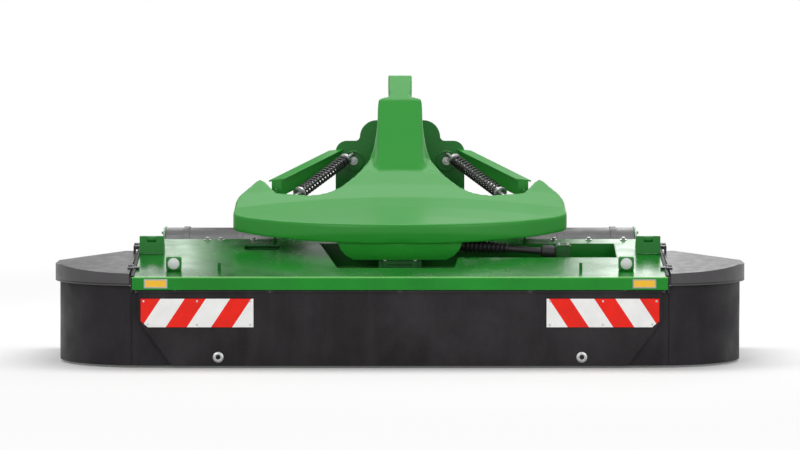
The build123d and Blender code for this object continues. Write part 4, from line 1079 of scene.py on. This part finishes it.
DISC_PITCH, DISC_LINE = 0.42, behind(607)
LOW_HUB = (0.17, 0.034)                 # height of a disc's hub bolts and radius of their ring
drums = {1: (0.392, 0.058), 6: (0.387, 0.058), 7: (0.392, 0.058)}      # the same on a drum
for number in range(1, 8):
    middle = Vector((DISC_PITCH * (number - 4), DISC_LINE, 0))
    bolts = []
    for reach in (-0.196, 0.196):
        step = Vector((reach, 0, 0.122)) if number % 2 else Vector((0, reach, 0.122))
        bolts.append((middle + step, (0, 0, 1)))
    top, ring = drums.get(number, LOW_HUB)
    for angle in range(0, 360, 60):
        step = Vector((ring * cos(radians(angle)), ring * sin(radians(angle)), top))
        bolts.append((middle + step, (0, 0, 1)))
    bolt_set(f"disc_{number}_bolts", 0.015, bolts, f"disc_{number}")
bolt_set("cutterbar_bolts", 0.011, [((DISC_PITCH * (number - 3.5) + x, DISC_LINE + y, 0.092),
    (0, 0, 1)) for number in range(1, 7) for x in (-0.018, 0.018) for y in (-0.072, 0.072)])


# ---- swath boards, corner brackets and seals

for hand, side in HANDS:
    rolls = []
    for start, length, z in ((0.5, 0.492, 0.4425), (0.53, 0.42, 0.345), (0.53, 0.42, 0.255)):
        profile = [(0, 0), (0.006, 0.001), (0.0075, 0.006), (0.0075, length - 0.006),
            (0.006, length - 0.001), (0, length)]
        rolls.append(turned("board_roll", profile, (side * 1.215, start, z), (0, 1, 0), 16))
    group(f"swath_board_rolls_{hand}", rolls, green_gloss, (), "green_paint", f"swath_board_{hand}")
    board_bolts = [((side * 1.2175, 0.5, z), (side, 0, 0)) for z in (0.2, 0.3, 0.4)]
    bolt_set(f"swath_board_bolts_{hand}", 0.015, board_bolts, f"swath_board_{hand}")

tubes = [turned("bracket_tube", [(0.009, 0), (0.016, 0), (0.017, 0.001), (0.017, 0.107),
    (0.016, 0.108), (0.009, 0.108)], (side * 1.271 - 0.054, behind(556), 0.613), (1, 0, 0), 28)
    for side in SIDES]
group("bracket_tubes", tubes, green_gloss, slot="green_paint")

bulb_line = ((14, 0.0003), (14, 0.006), (22, 0.008), (706, 0.008), (714, 0.006), (714, 0.0003))
seals = []
for side in SIDES:
    bulb = plate("seal_bulb", [(side * 1.3305, behind(d), deck_height(d) + rise)
        for d, rise in bulb_line], (side * 0.0165, 0, 0))
    rounded(bulb, 0.003, 3)
    tail = eased_block("seal_tail", (0.0135, 0.03, 0.042), (side * 1.3475, behind(24), 0.4345),
        0.003)
    foot = eased_block("seal_foot", (0.007, 0.016, 0.08), (side * 1.3443, behind(18), 0.415), 0.002)
    seals += [bulb, tail, foot]
group("seal_bulbs", seals, black_rubber, slot="curtain_rubber")


# ---- rivets on the striped plates

rivet = turned("rivet", [(0, 0), (0.0055, 0), (0.0052, 0.0012), (0.0036, 0.0022), (0, 0.0026)],
    (0, 0, 0), (0, -1, 0), 16)
rivets = [copied(rivet, (side * x, behind(3.2), z)) for side in SIDES
    for x, z in ((0.749, 0.218), (0.749, 0.335), (1.015, 0.218), (1.015, 0.335), (1.283, 0.335),
    (1.262, 0.22))]
bpy.data.objects.remove(rivet)
group("plate_rivets", rivets, zinc, (), "zinc_steel", "front_flap")


# ---- floor, light and camera

FLOOR_SIZE, FLOOR_GLOW = 1200, 0.1
FADE_START, FADE_END = 2.2, 7.0         # from here to there the floor turns into the plain white
FLAG_HEIGHT, FLAG_Y = 1.3, 3.0
SKY_LIGHT, SKY_SEEN = 0.42, 1.0

drop_all()
bpy.ops.mesh.primitive_plane_add(size=FLOOR_SIZE, location=(0, 0, -0.002))
floor = newest("studio_floor")
bake_place(floor)
paint = Finish("studio_floor_paint", Roughness=0.9, Specular_IOR_Level=0.1)
paint.colour(paint.mixed(paint.clouds(0.4, 2), (250, 250, 250), (252, 252, 252)))
direct = direct_share(paint.tree)
lift = paint.node("Emission", Strength=paint.maths(direct, FLOOR_GLOW, "MULTIPLY"))
away = paint.node("VectorMath", Vector=paint.place)
away.operation = "LENGTH"
far = paint.spread(away.outputs["Value"], 0, 1, FADE_START, FADE_END)
near = paint.node("AddShader")
fade = paint.node("MixShader", Fac=paint.maths(far, direct, "MULTIPLY"))
for source, socket in ((paint.shader, near.inputs[0]), (lift, near.inputs[1]),
        (near, fade.inputs[1]), (paint.node("Emission"), fade.inputs[2]),
        (fade, paint.tree.nodes["Material Output"].inputs["Surface"])):
    paint.put(source.outputs[0], socket)
floor.data.materials.append(paint.material)

# Dark cloths behind the machine, mirrored by the deck's rear half.
paint = Finish("dark_flag_cloth", Roughness=1.0, Specular_IOR_Level=0.0)
paint.colour(paint.mixed(paint.clouds(3, 2), (14, 14, 14), (24, 24, 24)))
for hand, centre, width in (("left", -0.838, 0.556), ("right", 0.724, 0.622)):
    drop_all()
    bpy.ops.mesh.primitive_plane_add(size=1, location=(centre, FLAG_Y, 1.85),
        rotation=(pi / 2, 0, 0))
    flag = newest(f"dark_flag_{hand}")
    flag.scale = (width, FLAG_HEIGHT, 1)
    bake_place(flag)
    flag.data.materials.append(paint.material)
    flag.visible_camera = flag.visible_diffuse = flag.visible_shadow = False

# White where it is seen or mirrored, and dimmer as a light.
world = bpy.data.worlds.new("studio")
world.use_nodes = True
bpy.context.scene.world = world
tree = world.node_tree
level = tree.nodes.new("ShaderNodeMapRange")
level.inputs["To Min"].default_value = SKY_LIGHT
level.inputs["To Max"].default_value = SKY_SEEN
tree.links.new(direct_share(tree), level.inputs["Value"])
tree.links.new(level.outputs["Result"], tree.nodes["Background"].inputs["Strength"])
tree.nodes["Background"].inputs["Color"].default_value = (1, 1, 1, 1)


def aim(thing, place, target):
    """Puts a light or camera in its place and points it at the target."""
    stand = bpy.data.objects.new(thing.name, thing)
    bpy.context.collection.objects.link(stand)
    stand.location = place
    stand.rotation_mode = "QUATERNION"
    stand.rotation_quaternion = (Vector(target) - stand.location).to_track_quat("-Z", "Y")
    return stand


def soft_light(name, place, target, size, power):
    lamp = bpy.data.lights.new(name, "AREA")
    lamp.shape = "RECTANGLE"
    lamp.size, lamp.size_y = size
    lamp.energy = power
    aim(lamp, place, target)


soft_light("overhead_light", (0, 1.5, 6.5), (0, 0.6, 0.4), (7, 3.6), 250)
soft_light("front_left_light", (-4.0, -9, 4.2), (0, 0, 0.5), (4, 4), 150)
soft_light("front_right_light", (5.0, -8.5, 3.4), (0, 0, 0.5), (4, 4), 130)
soft_light("rear_light", (2.5, 7, 4.5), (0, 0, 0.6), (5, 3), 90)
for hand, side in HANDS:
    soft_light(f"rear_strip_{hand}", (side * 1.46, 3.0, 1.95), (side * 1.2, -0.5, 0.5), (0.44, 0.7),
        2.2)

lens = bpy.data.cameras.new("camera")
lens.lens = 190
lens.clip_end = 2000
bpy.context.scene.camera = aim(lens, (0, -22.05, 1.93), (0, 0, 0.66))
bpy.context.scene.view_settings.view_transform = "Standard"
